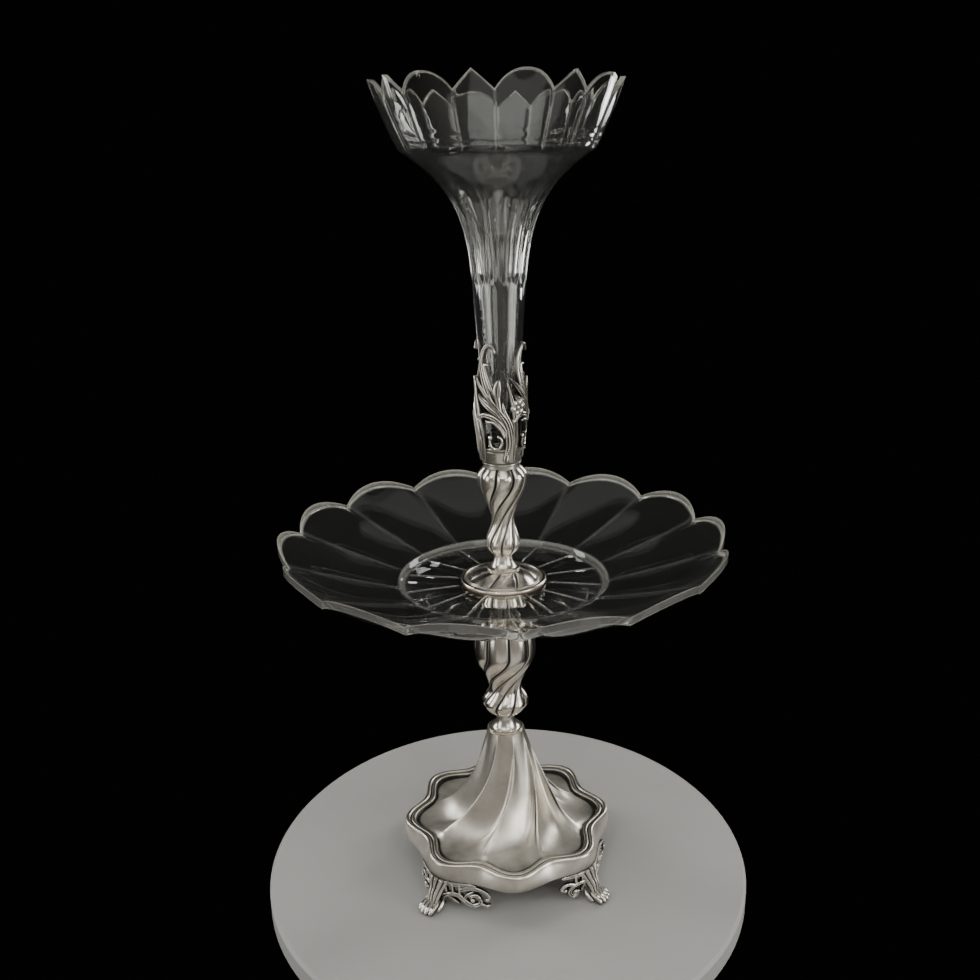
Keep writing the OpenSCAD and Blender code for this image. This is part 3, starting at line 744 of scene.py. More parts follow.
def new_tree(name: str, inputs: Sequence[tuple[str, str]]) -> tuple[Graph, Node]:
    """Start a geometry tree with named inputs.

    Args:
        name: Name of the tree.
        inputs: Name and socket kind of each input.

    Returns:
        The graph of the tree and its input node.
    """
    tree = bpy.data.node_groups.new(name, "GeometryNodeTree")
    tree.interface.new_socket("Geometry", in_out="INPUT", socket_type="NodeSocketGeometry")
    for label, kind in inputs:
        tree.interface.new_socket(label, in_out="INPUT", socket_type=f"NodeSocket{kind}")
    tree.interface.new_socket("Geometry", in_out="OUTPUT", socket_type="NodeSocketGeometry")
    graph = Graph(tree)
    return graph, graph.node("NodeGroupInput")


def end_tree(graph: Graph, geometry: Socket, material: Socket) -> bpy.types.NodeTree:
    """Close a tree: smooth shading, real instances, material and output.

    Args:
        graph: The graph of the tree.
        geometry: What the tree has made.
        material: What it is made of.

    Returns:
        The tree.
    """
    smooth = graph.node("GeometryNodeSetShadeSmooth", geometry).outputs[0]
    real = graph.node("GeometryNodeRealizeInstances", smooth).outputs[0]
    dressed = graph.node("GeometryNodeSetMaterial", real, None, material).outputs[0]
    graph.node("NodeGroupOutput", dressed)
    return graph.tree


@dataclass
class SwirlTurning:
    """A turned piece whose grooved lobes wind round it, made by a geometry tree.

    The section runs from the axis at the bottom to the axis at the top.
    """

    name: str
    section: Array
    turn: Array
    groove: Array
    depth: float
    swirl: float
    lobes: int = 8
    steps: int = 384
    lean: float = 0.0
    sharpness: float = 0.5
    start: float = 0.0
    groove_tarnish_and_shade_w: tuple[float, float] = (0.6, 1.3)

    def reach(self) -> tuple[float, float, float]:
        """Its lowest point, its height and its largest radius."""
        r, z = self.section.T
        return float(z.min()), float(z.max() - z.min()), float(r.max())

    def curve(self, graph: Graph, share: Socket, values: Array) -> Socket:
        """Look values up along the section.

        Args:
            graph: The graph of the tree.
            share: How far along the section, from 0 to 1.
            values: The values, evenly spaced.

        Returns:
            The value at that share.
        """
        made = graph.node("ShaderNodeFloatCurve", 1.0, share)
        line = made.mapping.curves[0]
        places = np.linspace(0, 1, len(values))
        line.points[0].location = (0.0, float(values[0]))
        line.points[1].location = (1.0, float(values[-1]))
        for place, value in zip(places[1:-1], values[1:-1]):
            line.points.new(float(place), float(value))
        for point in line.points:
            point.handle_type = "VECTOR"
        made.mapping.update()
        return made.outputs[0]

    def tree(self) -> bpy.types.NodeTree:
        """Lay out the geometry tree: a grid wound round the axis and pressed into lobes.

        Returns:
            The tree.
        """
        graph, given = new_tree(
            f"swirl turning {self.name}",
            [("Steps", "Int"), ("Rows", "Int"), ("Lobes", "Int"), ("Bottom", "Float"), ("Height", "Float"),
             ("Radius", "Float"), ("Groove", "Float"), ("Sharpness", "Float"), ("Swirl", "Float"),
             ("Lean", "Float"), ("Start", "Float"), ("Finish", "Material")],
        )
        size, do = given.outputs, graph.math
        low, tall, wide = self.reach()
        grid = graph.node("GeometryNodeMeshGrid", 1.0, 1.0, do("ADD", size["Steps"], 1.0), size["Rows"])
        where = graph.node("ShaderNodeSeparateXYZ", graph.node("GeometryNodeInputPosition").outputs[0])
        u, t = (do("ADD", where.outputs[axis], 0.5) for axis in (0, 1))
        r_share = self.curve(graph, t, self.section[:, 0] / wide)
        z_share = self.curve(graph, t, (self.section[:, 1] - low) / tall)
        turn_share = self.curve(graph, t, self.turn)
        groove_share = self.curve(graph, t, self.groove)
        phase = do("MULTIPLY", do("MULTIPLY", u, size["Lobes"]), math.pi)
        swing = do("MINIMUM", do("ABSOLUTE", do("SINE", phase)), 0.9999)
        valley = do("SUBTRACT", 1.0, do("POWER", swing, size["Sharpness"]))
        cut = do("MULTIPLY", do("MULTIPLY", valley, groove_share), size["Groove"])
        upright = do("MULTIPLY", cut, size["Lean"])
        r = do("SUBTRACT", do("MULTIPLY", r_share, size["Radius"]), do("SUBTRACT", cut, upright))
        full = do("MULTIPLY_ADD", u, 2 * math.pi, size["Start"])
        angle = do("MULTIPLY_ADD", turn_share, size["Swirl"], full)
        x, y = (do("MULTIPLY", r, do(side, angle)) for side in ("COSINE", "SINE"))
        z = do("SUBTRACT", do("MULTIPLY_ADD", z_share, size["Height"], size["Bottom"]), upright)
        place = graph.node("ShaderNodeCombineXYZ", x, y, z).outputs[0]
        # A dark line along the bottom of each groove: tarnish and painted shade.
        arc = do("MULTIPLY", do("ARCSINE", swing), r)
        away = do("DIVIDE", do("MULTIPLY", arc, 2.0), size["Lobes"])
        line = graph.span(away, 1.0, 0.0, *(w * MM for w in self.groove_tarnish_and_shade_w))
        dark = do("MULTIPLY", line, do("POWER", groove_share, 0.35), clamp=True)
        marked = graph.node(
            "GeometryNodeStoreNamedAttribute", grid.outputs[0], data_type="FLOAT", domain="POINT",
            Name=TARNISH_AND_PAINTED_LIGHT, Value=dark,
        )
        wound = graph.node("GeometryNodeSetPosition", marked.outputs[0], None, place).outputs[0]
        closed = graph.node("GeometryNodeMergeByDistance", wound, Distance=2e-5).outputs[0]
        return end_tree(graph, closed, size["Finish"])

    def build(self, finish: Finish, body: Body, node: str) -> None:
        """Make the piece.

        Args:
            finish: What it is made of.
            body: What it moves with.
            node: Name of the construction node it replaces.
        """
        host = show(self.name, bpy.data.meshes.new(self.name))
        low, tall, wide = self.reach()
        values = {
            "Steps": self.steps, "Rows": len(self.section), "Lobes": self.lobes, "Bottom": low * MM,
            "Height": tall * MM, "Radius": wide * MM, "Groove": self.depth * MM, "Sharpness": self.sharpness,
            "Swirl": math.radians(self.swirl), "Lean": self.lean, "Start": math.radians(self.start),
            "Finish": finish.material(),
        }
        run_tree(host, self.tree(), values)
        settle(host, finish, body, node)


def bead_line(path: Path, surface: Surface, lift: float, bottom: float, h: float) -> Array:
    """Draw the line of a row of beads on a curved skin.

    Args:
        path: Degrees round and share of the height of its control points.
        surface: Radius of the skin at degrees round and height.
        lift: How far the middles of the beads lie above the skin.
        bottom: Height at share 0.
        h: How far share 1 lies above it.

    Returns:
        The points of the line.
    """
    turn, share = spline(path, 8).T
    z = bottom + share * h
    return polar(surface(turn, z) + lift, turn, z)


@dataclass
class BeadRow:
    """Rows of small round beads set along lines by a geometry tree."""

    name: str
    lines: list[Array]
    r: float
    pitch: float

    def tree(self) -> bpy.types.NodeTree:
        """Lay out the geometry tree: a ball at every step of every line.

        Returns:
            The tree.
        """
        graph, given = new_tree(self.name, [("Radius", "Float"), ("Pitch", "Float"), ("Finish", "Material")])
        size = given.outputs
        line = graph.node("GeometryNodeMeshToCurve", size[0]).outputs[0]
        steps = graph.node("GeometryNodeResampleCurve", line, mode="LENGTH", Length=size["Pitch"]).outputs[0]
        ball = graph.node("GeometryNodeMeshIcoSphere", size["Radius"], 3).outputs[0]
        set_out = graph.node("GeometryNodeInstanceOnPoints", steps, None, ball).outputs[0]
        return end_tree(graph, set_out, size["Finish"])

    def build(self, finish: Finish, body: Body) -> None:
        """Make the beads.

        Args:
            finish: What they are made of.
            body: What they move with.
        """
        mesh = bpy.data.meshes.new(self.name)
        edges, count = [], 0
        for line in self.lines:
            edges += [(count + i, count + i + 1) for i in range(len(line) - 1)]
            count += len(line)
        mesh.from_pydata((np.vstack(self.lines) * MM).tolist(), edges, [])
        host = show(self.name, mesh)
        values = {"Radius": self.r * MM, "Pitch": self.pitch * MM, "Finish": finish.material()}
        run_tree(host, self.tree(), values)
        settle(host, finish, body)


@dataclass(frozen=True)
class Stack:
    """Heights above the table at which the pieces meet, in millimetres."""

    skirt: float = 21.5
    rim: float = 32.5
    field: float = 29.5
    cone: float = 99.5
    lower: float = 109.5
    rest: float = 194.5
    lower_washer: float = 199.5
    dish: float = 200.5
    floor: float = 207.0
    rosette: float = 208.0
    upper_collar: float = 216.0
    upper: float = 225.5
    socket: float = 284.5
    vase: float = 290.5


STACK = Stack()
BORE_R = 3.4
FRONT_ANGLE = -90

# Inset from the edge, height over the rim's top and dark mark (tarnish and painted shade in the channel and
# under the rim), from the lip to the inside of the wall.
RIM_MOULDING = np.array([
    [0.0, -1.9, 0.1], [0.15, -1.1, 0], [0.5, -0.5, 0], [1.1, -0.1, 0], [1.8, 0, 0], [2.4, -0.12, 0],
    [2.9, -0.4, 0.1], [3.25, -0.8, 0.5], [3.45, -1.6, 1], [3.9, -1.7, 1], [4.25, -1.6, 1], [4.45, -0.9, 0.5],
    [4.8, -0.6, 0], [5.4, -0.5, 0], [6.2, -0.55, 0], [6.8, -0.7, 0.1], [7.15, -1.0, 0.5], [7.35, -1.9, 1],
    [7.7, -2.5, 1], [8.0, -3.0, 1], [7.8, -4.0, 1], [2.0, -4.0, 1],
])


@dataclass
class Foot:
    """The swirled dome of the foot and the lobed rim that frames it."""

    mid_r: float = 66.5
    swing: float = 4.5
    skirt_swing: float = 2.5
    skirt_bulge: float = 0.35
    rim_w: float = 8.0
    rim_gap: float = 0.2
    sheet: float = 1.6
    top_r: float = 12.5
    ridge_rise: float = 1.4
    ridge_round: float = 0.05
    ridge_power: float = 2.2
    panel_power: float = 4.3
    twist_power: float = 1.5
    row_power: float = 1.6
    swirl: float = 38.0
    lobes: int = 8
    steps: int = 512
    rows: int = 90

    def outline(self, degrees: Array) -> Array:
        """Radius of the lobed edge."""
        return self.mid_r + self.swing * np.cos(np.radians(self.lobes * degrees))

    def skirt_outline(self, degrees: Array) -> Array:
        """Radius of the skirt's lower edge."""
        return self.mid_r + self.swing - self.skirt_swing * (1 - np.cos(np.radians(self.lobes * degrees)))

    def dome_rows(self, shares: Array, wall: float) -> tuple[Array, Array]:
        """Lay out rows of the dome.

        Args:
            shares: How far up each row lies, from 0 at the rim to 1 at the top.
            wall: How far the rows lie below the outer surface.

        Returns:
            Points by row and step, and the dark mark of each: painted shade beside the ridges, and darker low
            on the panels.
        """
        a = round_steps(self.steps)[None]
        t = shares[:, None]
        u = ((a / 360 * self.lobes) + 0.5) % 1
        off = 1 - np.abs(2 * u - 1)
        crisp = np.clip(1 - np.sqrt(off**2 + self.ridge_round**2) + 0.02, 0, 1)
        ridge = crisp**2
        r = mix(self.outline(a) - self.rim_w - self.rim_gap, self.top_r, t) - wall * 0.6
        turn = a + self.swirl * ease(t**self.twist_power)
        share = mix(t**self.panel_power, 0.2 * t + 0.8 * t**self.ridge_power, ridge)
        rise = self.ridge_rise * ridge * (1 - t) * np.minimum(1, 10 * t)
        z = mix(STACK.field, STACK.cone, share) + rise - wall
        # Painted shade: a dark line on one side of each ridge and darker strips beside every ridge. The
        # panels are also darker low down away from the ridges, and dark at the foot of the wall.
        foot_of_wall = np.clip((0.05 - t) / 0.05, 0, 1)
        beside = np.clip((crisp - 0.55) / 0.3, 0, 1) * np.clip((0.97 - crisp) / 0.1, 0, 1)
        line = hill((u + 0.5) % 1, 0.445, 0.035) * hill(t, 0.48, 0.24)
        mark = 0.75 * foot_of_wall + line + 0.2 * beside * (1 - 0.6 * t) + 0.85 * (1 - ridge) * (1 - t) ** 2
        return polar(r, turn, z), np.broadcast_to(mark, r.shape)

    def dome(self) -> None:
        """Make the dome: outer skin, the seat of the collar, and inner skin."""
        shares = 1 - (1 - np.linspace(0, 1, self.rows)) ** self.row_power
        outer, mark = self.dome_rows(shares, 0.0)
        inner, _ = self.dome_rows(shares[::-6], self.sheet)
        turn = round_steps(self.steps) + self.swirl
        seat = np.array([polar(BORE_R, turn, z) for z in (STACK.cone, STACK.cone - 2 * self.sheet)])
        marks = np.concatenate([mark, np.zeros((2, self.steps)), np.full(inner.shape[:2], 0.6)])
        skin = Skin()
        skin.loft(np.concatenate([outer, seat, inner]), marks, hoop=True)
        skin.piece("foot_dome_skin", DOME_SILVER, Body.STAND, "foot_dome", sharp=60)

    def rim(self) -> None:
        """Make the rim: a bead, a channel painted black with tarnish and shade, and a flat band, over the
        skirt.
        """
        inset, rise, tarnish_and_shade = RIM_MOULDING.T[..., None]
        a = round_steps(self.steps)[None]
        top = polar(self.outline(a) - inset, a, STACK.rim + rise)
        levels = np.linspace(0, 1, 7)[:-1, None]
        edge = mix(self.skirt_outline(a), self.outline(a), levels) + self.skirt_bulge * np.sin(np.pi * levels)
        skirt = polar(edge, a, mix(STACK.skirt, STACK.rim + rise[0], levels))
        inside = polar(self.skirt_outline(a) - self.sheet, a, STACK.skirt)
        skin = Skin()
        # The skirt is darker towards the bottom.
        mark = np.concatenate([0.55 * (1 - levels) ** 2 + 0.12, tarnish_and_shade, [[1.0]]])
        skin.loft(np.concatenate([skirt, top, inside]), mark, hoop=True)
        skin.piece("foot_rim_skin", DOME_SILVER, Body.STAND, "foot_rim", sharp=50)

    def build(self) -> None:
        """Make both pieces."""
        self.dome()
        self.rim()


# Relief, cross-section and control points of a foot's scrolls: degrees, share of height, share of half-width.
WING_SCROLLS: tuple[tuple[float, Crest, Path], ...] = (
    (0.36, Crest.VEINED, [(-18, 0.95, 0.66), (0, 0.92, 0.96), (22.5, 0.94, 0.72)]),
    (0.72, Crest.VEINED, [
        (4, 0.12, 0.7), (2.5, 0.34, 1.0), (7, 0.55, 0.97), (12, 0.57, 0.95), (16, 0.39, 0.95),
        (20.5, 0.27, 0.9), (25, 0.43, 0.82), (23, 0.64, 0.74), (19.2, 0.57, 0.62), (20.5, 0.46, 0.5),
    ]),
    (0.45, Crest.VEINED, [
        (13, 0.74, 0.86), (20, 0.86, 0.8), (27, 0.82, 0.68), (30, 0.7, 0.62), (29, 0.58, 0.4),
    ]),
    (0.72, Crest.VEINED, [
        (1, 0.5, 0.92), (-5, 0.63, 0.86), (-10.5, 0.6, 0.8), (-13.5, 0.42, 0.8), (-11, 0.24, 0.74),
        (-8.2, 0.36, 0.58), (-10.5, 0.42, 0.5),
    ]),
    (0.5, Crest.ROUND, [(-10, 0.6, 0.74), (-14.5, 0.68, 0.68), (-18, 0.56, 0.6), (-16, 0.46, 0.4)]),
    (0.6, Crest.VEINED, [(6, 0.52, 0.5), (9.5, 0.4, 0.62), (13, 0.26, 0.26)]),
    (0.6, Crest.VEINED, [(15.5, 0.44, 0.44), (17.5, 0.62, 0.6), (21, 0.76, 0.28)]),
    (0.6, Crest.VEINED, [(24.5, 0.42, 0.5), (28, 0.36, 0.56), (31, 0.44, 0.24)]),
    (0.6, Crest.VEINED, [(-4, 0.56, 0.46), (-6, 0.4, 0.54), (-5.5, 0.26, 0.22)]),
)
WING_BARS = ((-10, -9.5), (-6, -5.5), (5, 6), (9, 9.5), (13, 13))
WING_EYES = ((20.5, 0.46, 0.95), (29, 0.6, 0.7), (-10.5, 0.4, 1.0), (-16, 0.5, 0.7))
WING_BEADS = (
    [(5, 0.56), (9, 0.6), (12, 0.57), (14.5, 0.46), (16, 0.39)],
    [(-3, 0.6), (-7, 0.65), (-10.5, 0.6)],
)


@dataclass
class ScrollFeet:
    """Four cast feet: a leafy leg ending in a paw between two wings of pierced scrolls."""

    foot: Foot
    h: float = STACK.skirt
    toe_reach: float = 87.0
    toe_r: float = 2.1
    toes: int = 4
    leg_w: float = 9.6
    leg_t: float = 4.4
    scroll_w: float = 1.8
    thickness: float = 1.6
    proud: float = 0.4
    skirt_gap: float = 0.1
    bead_r: float = 0.5
    bead_pitch: float = 1.15
    bead_lift: float = 1.1

    def skin_r(self, degrees: Array, z: Array) -> Array:
        """Radius of the middle of the wings."""
        return self.foot.skirt_outline(degrees) + self.proud + 0 * z

    def wing(self, skin: Skin, path: Path, relief: float, crest: Crest) -> None:
        """Add a scroll of a wing.

        Args:
            skin: The skin of the foot.
            path: Degrees, share of the foot's height and share of the widest scroll's half-width.
            relief: How far it stands out, as a share of that half-width.
            crest: Its cross-section.
        """
        wide = self.scroll_w
        top = self.h - self.skirt_gap
        lines = [(a, min(share * self.h, top - w * wide), w * wide) for a, share, w in path]
        skin.frond(lines, self.skin_r, relief * wide, lambda z: np.full_like(z, self.thickness), crest)

    def leg(self, skin: Skin) -> None:
        """Add the leg: a fan of ribs that narrows from the knee to the ankle.

        Args:
            skin: The skin of the foot.
        """
        knee, toe, w, t, h = self.foot.mid_r, self.toe_reach, self.leg_w, self.leg_t, self.h
        path = [
            (toe - 4.3 * self.toe_r, self.toe_r + 0.5, w * 0.5, t * 0.55, 88),
            (mix(knee, toe, 0.48), h * 0.3, w * 0.45, t * 0.8, 70),
            (mix(knee, toe, 0.3), h * 0.55, w * 0.53, t * 0.86, 50),
            (mix(knee, toe, 0.18), h * 0.8, w * 0.76, t * 0.9, 35),
            (knee + t * 0.4, h, w * 0.94, t * 0.95, 20),
        ]
        x, z, wide, thick, lean = spline(path, 9).T[..., None]
        lean = np.radians(lean)
        a = np.radians(round_steps(120))[None]
        ahead = np.cos(a) > 0
        ribs = np.where(ahead, np.abs(np.cos(2 * np.pi * np.abs(np.sin(a)))) ** 0.7, 1.0)
        front = thick * np.cos(a) * np.where(ahead, 0.6 + 0.6 * ribs, 1.0)
        points = np.broadcast_arrays(x + front * np.cos(lean), wide * np.sin(a), z + front * np.sin(lean))
        rings = np.stack(points, -1)
        rings[..., 2] = np.clip(rings[..., 2], 0.2, h - 0.05)
        # Darker in the valleys between the ribs and on the back: painted shade and tarnish.
        skin.loft(rings, np.where(ahead, np.clip(1.25 - 1.6 * ribs, 0, 1), 0.9))

    def paw(self, skin: Skin) -> None:
        """Add the toes, each with a knuckle and a claw, and a curl at the heel on either side.

        Args:
            skin: The skin of the foot.
        """
        r, reach = self.toe_r, self.toe_reach
        for i in range(self.toes):
            y = (i - (self.toes - 1) / 2) * r * 1.38
            back = abs(y) * 0.35
            # The toes are darker along their flanks: painted shade between them, and tarnish.
            skin.tube([
                (reach - 5.6 * r, y * 0.8, 2.7 * r, 0.8 * r),
                (reach - 3.9 * r - back, y * 0.95, 2.3 * r, 0.88 * r),
                (reach - 2.2 * r - back, y, 1.75 * r, 0.95 * r),
                (reach - 1.25 * r - back, y, r, 0.9 * r),
                (reach - 0.8 * r - back, y, 0.6 * r, 0.45 * r),
            ], side_mark=0.9)
        for side in (-1, 1):
            skin.tube([
                (reach - 8.4 * r, side * 4.4, 3.8 * r, 0.5), (reach - 6.6 * r, side * 6.0, 2.5 * r, 1.1),
                (reach - 4.8 * r, side * 6.2, 1.3 * r, 1.3), (reach - 3.9 * r, side * 5.3, 0.75 * r, 0.8),
            ])

    def wings(self, skin: Skin) -> None:
        """Add the pierced scrolls of both wings, the bars that hold them and the eyes at their hearts.

        Args:
            skin: The skin of the foot.
        """
        for relief, crest, path in WING_SCROLLS:
            self.wing(skin, path, relief, crest)
        for top, low in WING_BARS:
            path = [(top, 0.96, 0.56), ((top + low) / 2, 0.78, 0.42), (low, 0.6, 0.52)]
            self.wing(skin, path, 0.36, Crest.ROUND)
        for degrees, share, r in WING_EYES:
            at, wide = self.skin_r(degrees, 0.0) + self.proud, r * self.scroll_w
            skin.boss(at, degrees, share * self.h, wide, wide * 0.9)

    def build(self) -> None:
        """Make the four feet and their beads."""
        one = Skin()
        self.wings(one)
        self.leg(one)
        self.paw(one)
        beads = [bead_line(path, self.skin_r, self.bead_lift, 0.0, self.h) for path in WING_BEADS]
        angles = [90 * k + 45 for k in range(4)]
        for number, angle in enumerate(angles, 1):
            node = f"scroll_foot_{number}"
            one.copy_round([angle]).piece(f"{node}_cast", FOOT_SILVER, Body.STAND, node, sharp=70)
        rows = [turned(line, angle) for angle in angles for line in beads]
        BeadRow("foot_beads", rows, self.bead_r, self.bead_pitch).build(FOOT_SILVER, Body.STAND)


@dataclass
class Baluster:
    """A gadrooned length of the stem: bulb, waist and crown, with winding grooves."""

    node: str
    body: Body
    bottom: float
    top: float
    radii: tuple[float, float, float, float, float]
    shares: tuple[float, float, float]
    start: float
    groove: float = 2.6
    swirl: float = 125.0
    rows: int = 129

    def profile(self, t: Array) -> Array:
        """Shape the outline.

        Args:
            t: Shares of the height.

        Returns:
            Radius at each share.
        """
        neck, bulb, waist, crown, top = self.radii
        s0, s1, s2 = self.shares
        return np.select(
            [t < s0, t < s1, t < s2],
            [mix(neck, bulb, np.sin(np.pi / 2 * t / s0)), mix(bulb, waist, ease((t - s0) / (s1 - s0))),
             mix(waist, crown, ease((t - s1) / (s2 - s1)))],
            mix(top, crown, np.cos(np.pi / 2 * (t - s2) / (1 - s2))),
        )

    def build(self) -> None:
        """Make the baluster."""
        t = np.linspace(0, 1, self.rows - 2)
        r, t = (np.concatenate([[0], line, [end]]) for line, end in ((self.profile(t), 0), (t, 1)))
        section = np.stack([r, self.bottom + (self.top - self.bottom) * t], -1)
        low, high = 0.6 * self.shares[0], self.shares[2]
        turn = ease((t - low) / (high - low))
        turning = SwirlTurning(
            f"{self.node}_skin", section, turn, r / max(self.radii), self.groove, self.swirl, start=self.start
        )
        turning.build(STEM_SILVER, self.body, self.node)


LOWER_BALUSTER = Baluster(
    "lower_baluster", Body.STAND, STACK.lower, STACK.rest,
    radii=(6.0, 15.5, 11.0, 20.8, 12.0), shares=(0.13, 0.253, 0.59), start=14.0,
)
UPPER_BALUSTER = Baluster(
    "upper_baluster", Body.UPPER_STEM, STACK.upper, STACK.socket,
    radii=(6.0, 11.3, 7.3, 15.8, 12.0), shares=(0.14, 0.39, 0.9), start=-10.0,
)


@dataclass
class Rosette:
    """The clamp that holds the dish: a beaded rim round a dome of winding lobes."""

    r: float = 27.6
    rim_w: float = 4.2
    bead_w: float = 1.5
    bead_h: float = 1.2
    bead_mid: float = 1.1
    dome_low: float = 2.2
    dome_r: float = 10.8
    groove: float = 1.3
    swirl: float = -34.0
    rows: int = 129

    def build(self) -> None:
        """Make the rosette."""
        low, top, rim_in = STACK.rosette, STACK.upper_collar, self.r - self.rim_w
        t = np.linspace(0, 1, 70)
        dome_z = mix(low + self.dome_low, top, np.sin(np.pi / 2 * t))
        dome = np.stack([mix(rim_in, self.dome_r, t), dome_z], -1)
        a = np.radians(np.linspace(-80, 200, 40))
        bead_r = self.r - self.bead_w + self.bead_w * np.cos(a)
        bead_z = low + self.bead_mid + self.bead_h * np.sin(a)
        line = np.vstack([
            [[0, low], [self.r - 2, low]], np.stack([bead_r, bead_z], -1),
            [[rim_in + 0.6, low + 1.5], [rim_in, low + 1.4]], dome, [[0, top]],
        ])
        length = np.concatenate([[0], np.cumsum(np.hypot(*np.diff(line, axis=0).T))])
        even = np.concatenate([[0], np.linspace(length[1], length[-2], self.rows - 2), [length[-1]]])
        r, z = (np.interp(even, length, axis) for axis in line.T)
        up = np.clip((r - self.dome_r) / (rim_in - self.dome_r), 0, 1)
        on_dome = (even > length[-2 - len(dome)]) & (even < length[-2])
        groove = np.where(on_dome, np.minimum(1, 4 * up) * np.minimum(1, 6 * (1 - up) + 0.1), 0.0)
        turning = SwirlTurning(
            "clamp_rosette_skin", np.stack([r, z], -1), r / self.r, groove, self.groove, self.swirl,
            lean=1.0, sharpness=0.6,
        )
        turning.build(STEM_SILVER, Body.CLAMP, "clamp_rosette")


@dataclass
class Collars:
    """The plain turned pieces of the stem."""

    lip: float = 1.2
    lower_r: tuple[float, float] = (11.3, 6.0)
    upper_r: tuple[float, float] = (10.5, 5.4)
    spigot_r: float = 5.0
    spigot_h: float = 3.4
    spigot_root: float = 0.4

    def flare(self, lip_r: float, neck_r: float, bottom: float, top: float) -> Path:
        """Draw a collar from its lip up to its neck.

        Args:
            lip_r: Radius of the lip.
            neck_r: Radius of the neck.
            bottom: Height of the lip.
            top: Height of the neck.

        Returns:
            Its section.
        """
        t = np.linspace(0, 1, 24)
        z = bottom + mix(self.lip, top - bottom, 1 - np.cos(np.pi / 2 * t))
        edge = [(lip_r - 0.35, bottom), (lip_r, bottom + 0.35), (lip_r, bottom + self.lip - 0.3)]
        return [(BORE_R, bottom), *edge, *zip(mix(lip_r, neck_r, np.sin(np.pi / 2 * t)), z), (BORE_R, top)]

    def turning(self, node: str, body: Body, *rings: tuple[Path, float]) -> None:
        """Make a piece of one or more turned rings.

        Args:
            node: Name of the construction node it replaces.
            body: What it moves with.
            rings: Section and tarnish mark of each ring.
        """
        skin = Skin()
        for section, mark in rings:
            skin.lathe(section, mark)
        skin.piece(f"{node}_skin", STEM_SILVER, body, node)

    def build(self) -> None:
        """Make the two collars and the rest of the dish."""
        collar, rest, top = STACK.upper_collar, STACK.rest, STACK.lower_washer
        low, high = collar - self.spigot_h, collar + self.spigot_root
        spigot = [(BORE_R, low), (self.spigot_r, low), (self.spigot_r, high), (BORE_R, high)]
        flange = [
            (BORE_R, rest), (9.4, rest), (10.0, rest + 0.8), (11.0, top - 2.8), (17.6, top - 2.0),
            (18.6, top - 1.8), (19.0, top - 1.2), (19.0, top - 0.5), (18.6, top), (BORE_R, top),
        ]
        lower_flare = self.flare(*self.lower_r, STACK.cone, STACK.lower)
        upper_flare = self.flare(*self.upper_r, collar, STACK.upper)
        self.turning("lower_collar", Body.STAND, (lower_flare, 0.05))
        self.turning("upper_collar", Body.UPPER_STEM, (upper_flare, 0.05), (spigot, 0.2))
        self.turning("dish_rest", Body.STAND, (flange, 0.1))


@dataclass(frozen=True)
class Trumpet:
    """The outside of the vase below its bowl, by height above its foot."""

    foot_r: float = 8.6
    neck_r: float = 13.6
    neck_h: float = 71.0
    shoulder_r: float = 56.0
    shoulder_h: float = 180.5
    sweep: float = 0.83
    slope: float = 0.17

    def r(self, h: Array) -> Array:
        """Draw the trumpet.

        Args:
            h: Heights above the foot.

        Returns:
            Outer radius at each height.
        """
        s = np.clip((h - self.neck_h) / (self.shoulder_h - self.neck_h), 0, 1)
        flare = (self.shoulder_r - self.neck_r) * (self.sweep * s**5 + self.slope * s)
        return np.where(h < self.neck_h, mix(self.foot_r, self.neck_r, h / self.neck_h), self.neck_r + flare)


TRUMPET = Trumpet()

# Relief, cross-section and control points of a spray's leaves: degrees, share of height, share of half-width.
SPRAY_LEAVES: tuple[tuple[float, Crest, Path], ...] = (
    (0.58, Crest.STRANDS, [
        (9, 0.06, 1.0), (15, 0.2, 0.95), (8, 0.36, 0.88), (-12, 0.475, 0.78), (-44, 0.61, 0.63),
        (-72, 0.72, 0.21),
    ]),
    (0.48, Crest.VEINED, [
        (28, 0.06, 0.78), (26, 0.21, 0.7), (18, 0.35, 0.57), (4, 0.46, 0.47), (-1, 0.54, 0.21),
    ]),
    (0.5, Crest.VEINED, [
        (12, 0.27, 0.57), (-8, 0.38, 0.65), (-30, 0.43, 0.65), (-52, 0.43, 0.55), (-65, 0.38, 0.38),
    ]),
    (0.4, Crest.STRANDS, [(-2, 0.42, 0.51), (-30, 0.5, 0.95), (-50, 0.55, 0.8), (-64, 0.59, 0.21)]),
    (0.44, Crest.VEINED, [(-6, 0.46, 0.38), (-12, 0.56, 0.63), (-13, 0.64, 1.02), (-9, 0.71, 0.38)]),
    (0.42, Crest.VEINED, [
        (-26, 0.53, 0.59), (-45, 0.7, 0.8), (-52, 0.84, 0.63), (-42, 0.94, 0.45), (-28, 0.965, 0.34),
        (-16, 0.91, 0.22),
    ]),
    (0.45, Crest.VEINED, [
        (-66, 0.06, 1.25), (-60, 0.22, 1.1), (-61, 0.37, 0.75), (-68, 0.53, 0.51), (-80, 0.69, 0.17),
    ]),
    (0.36, Crest.ROUND, [(-22, 0.6, 0.5), (-38, 0.73, 0.46), (-43, 0.815, 0.36), (-33, 0.82, 0.24)]),
    (0.42, Crest.ROUND, [(4, 0.26, 0.3), (-6, 0.33, 0.38), (-22, 0.38, 0.4), (-42, 0.39, 0.25)]),
)
SPRAY_EYES = ((-33, 0.262, 0.55), (-65, 0.39, 0.66))
SPRAY_BEADS = [(8, 0.13), (14, 0.2), (13, 0.28), (8, 0.36), (-4, 0.44)]


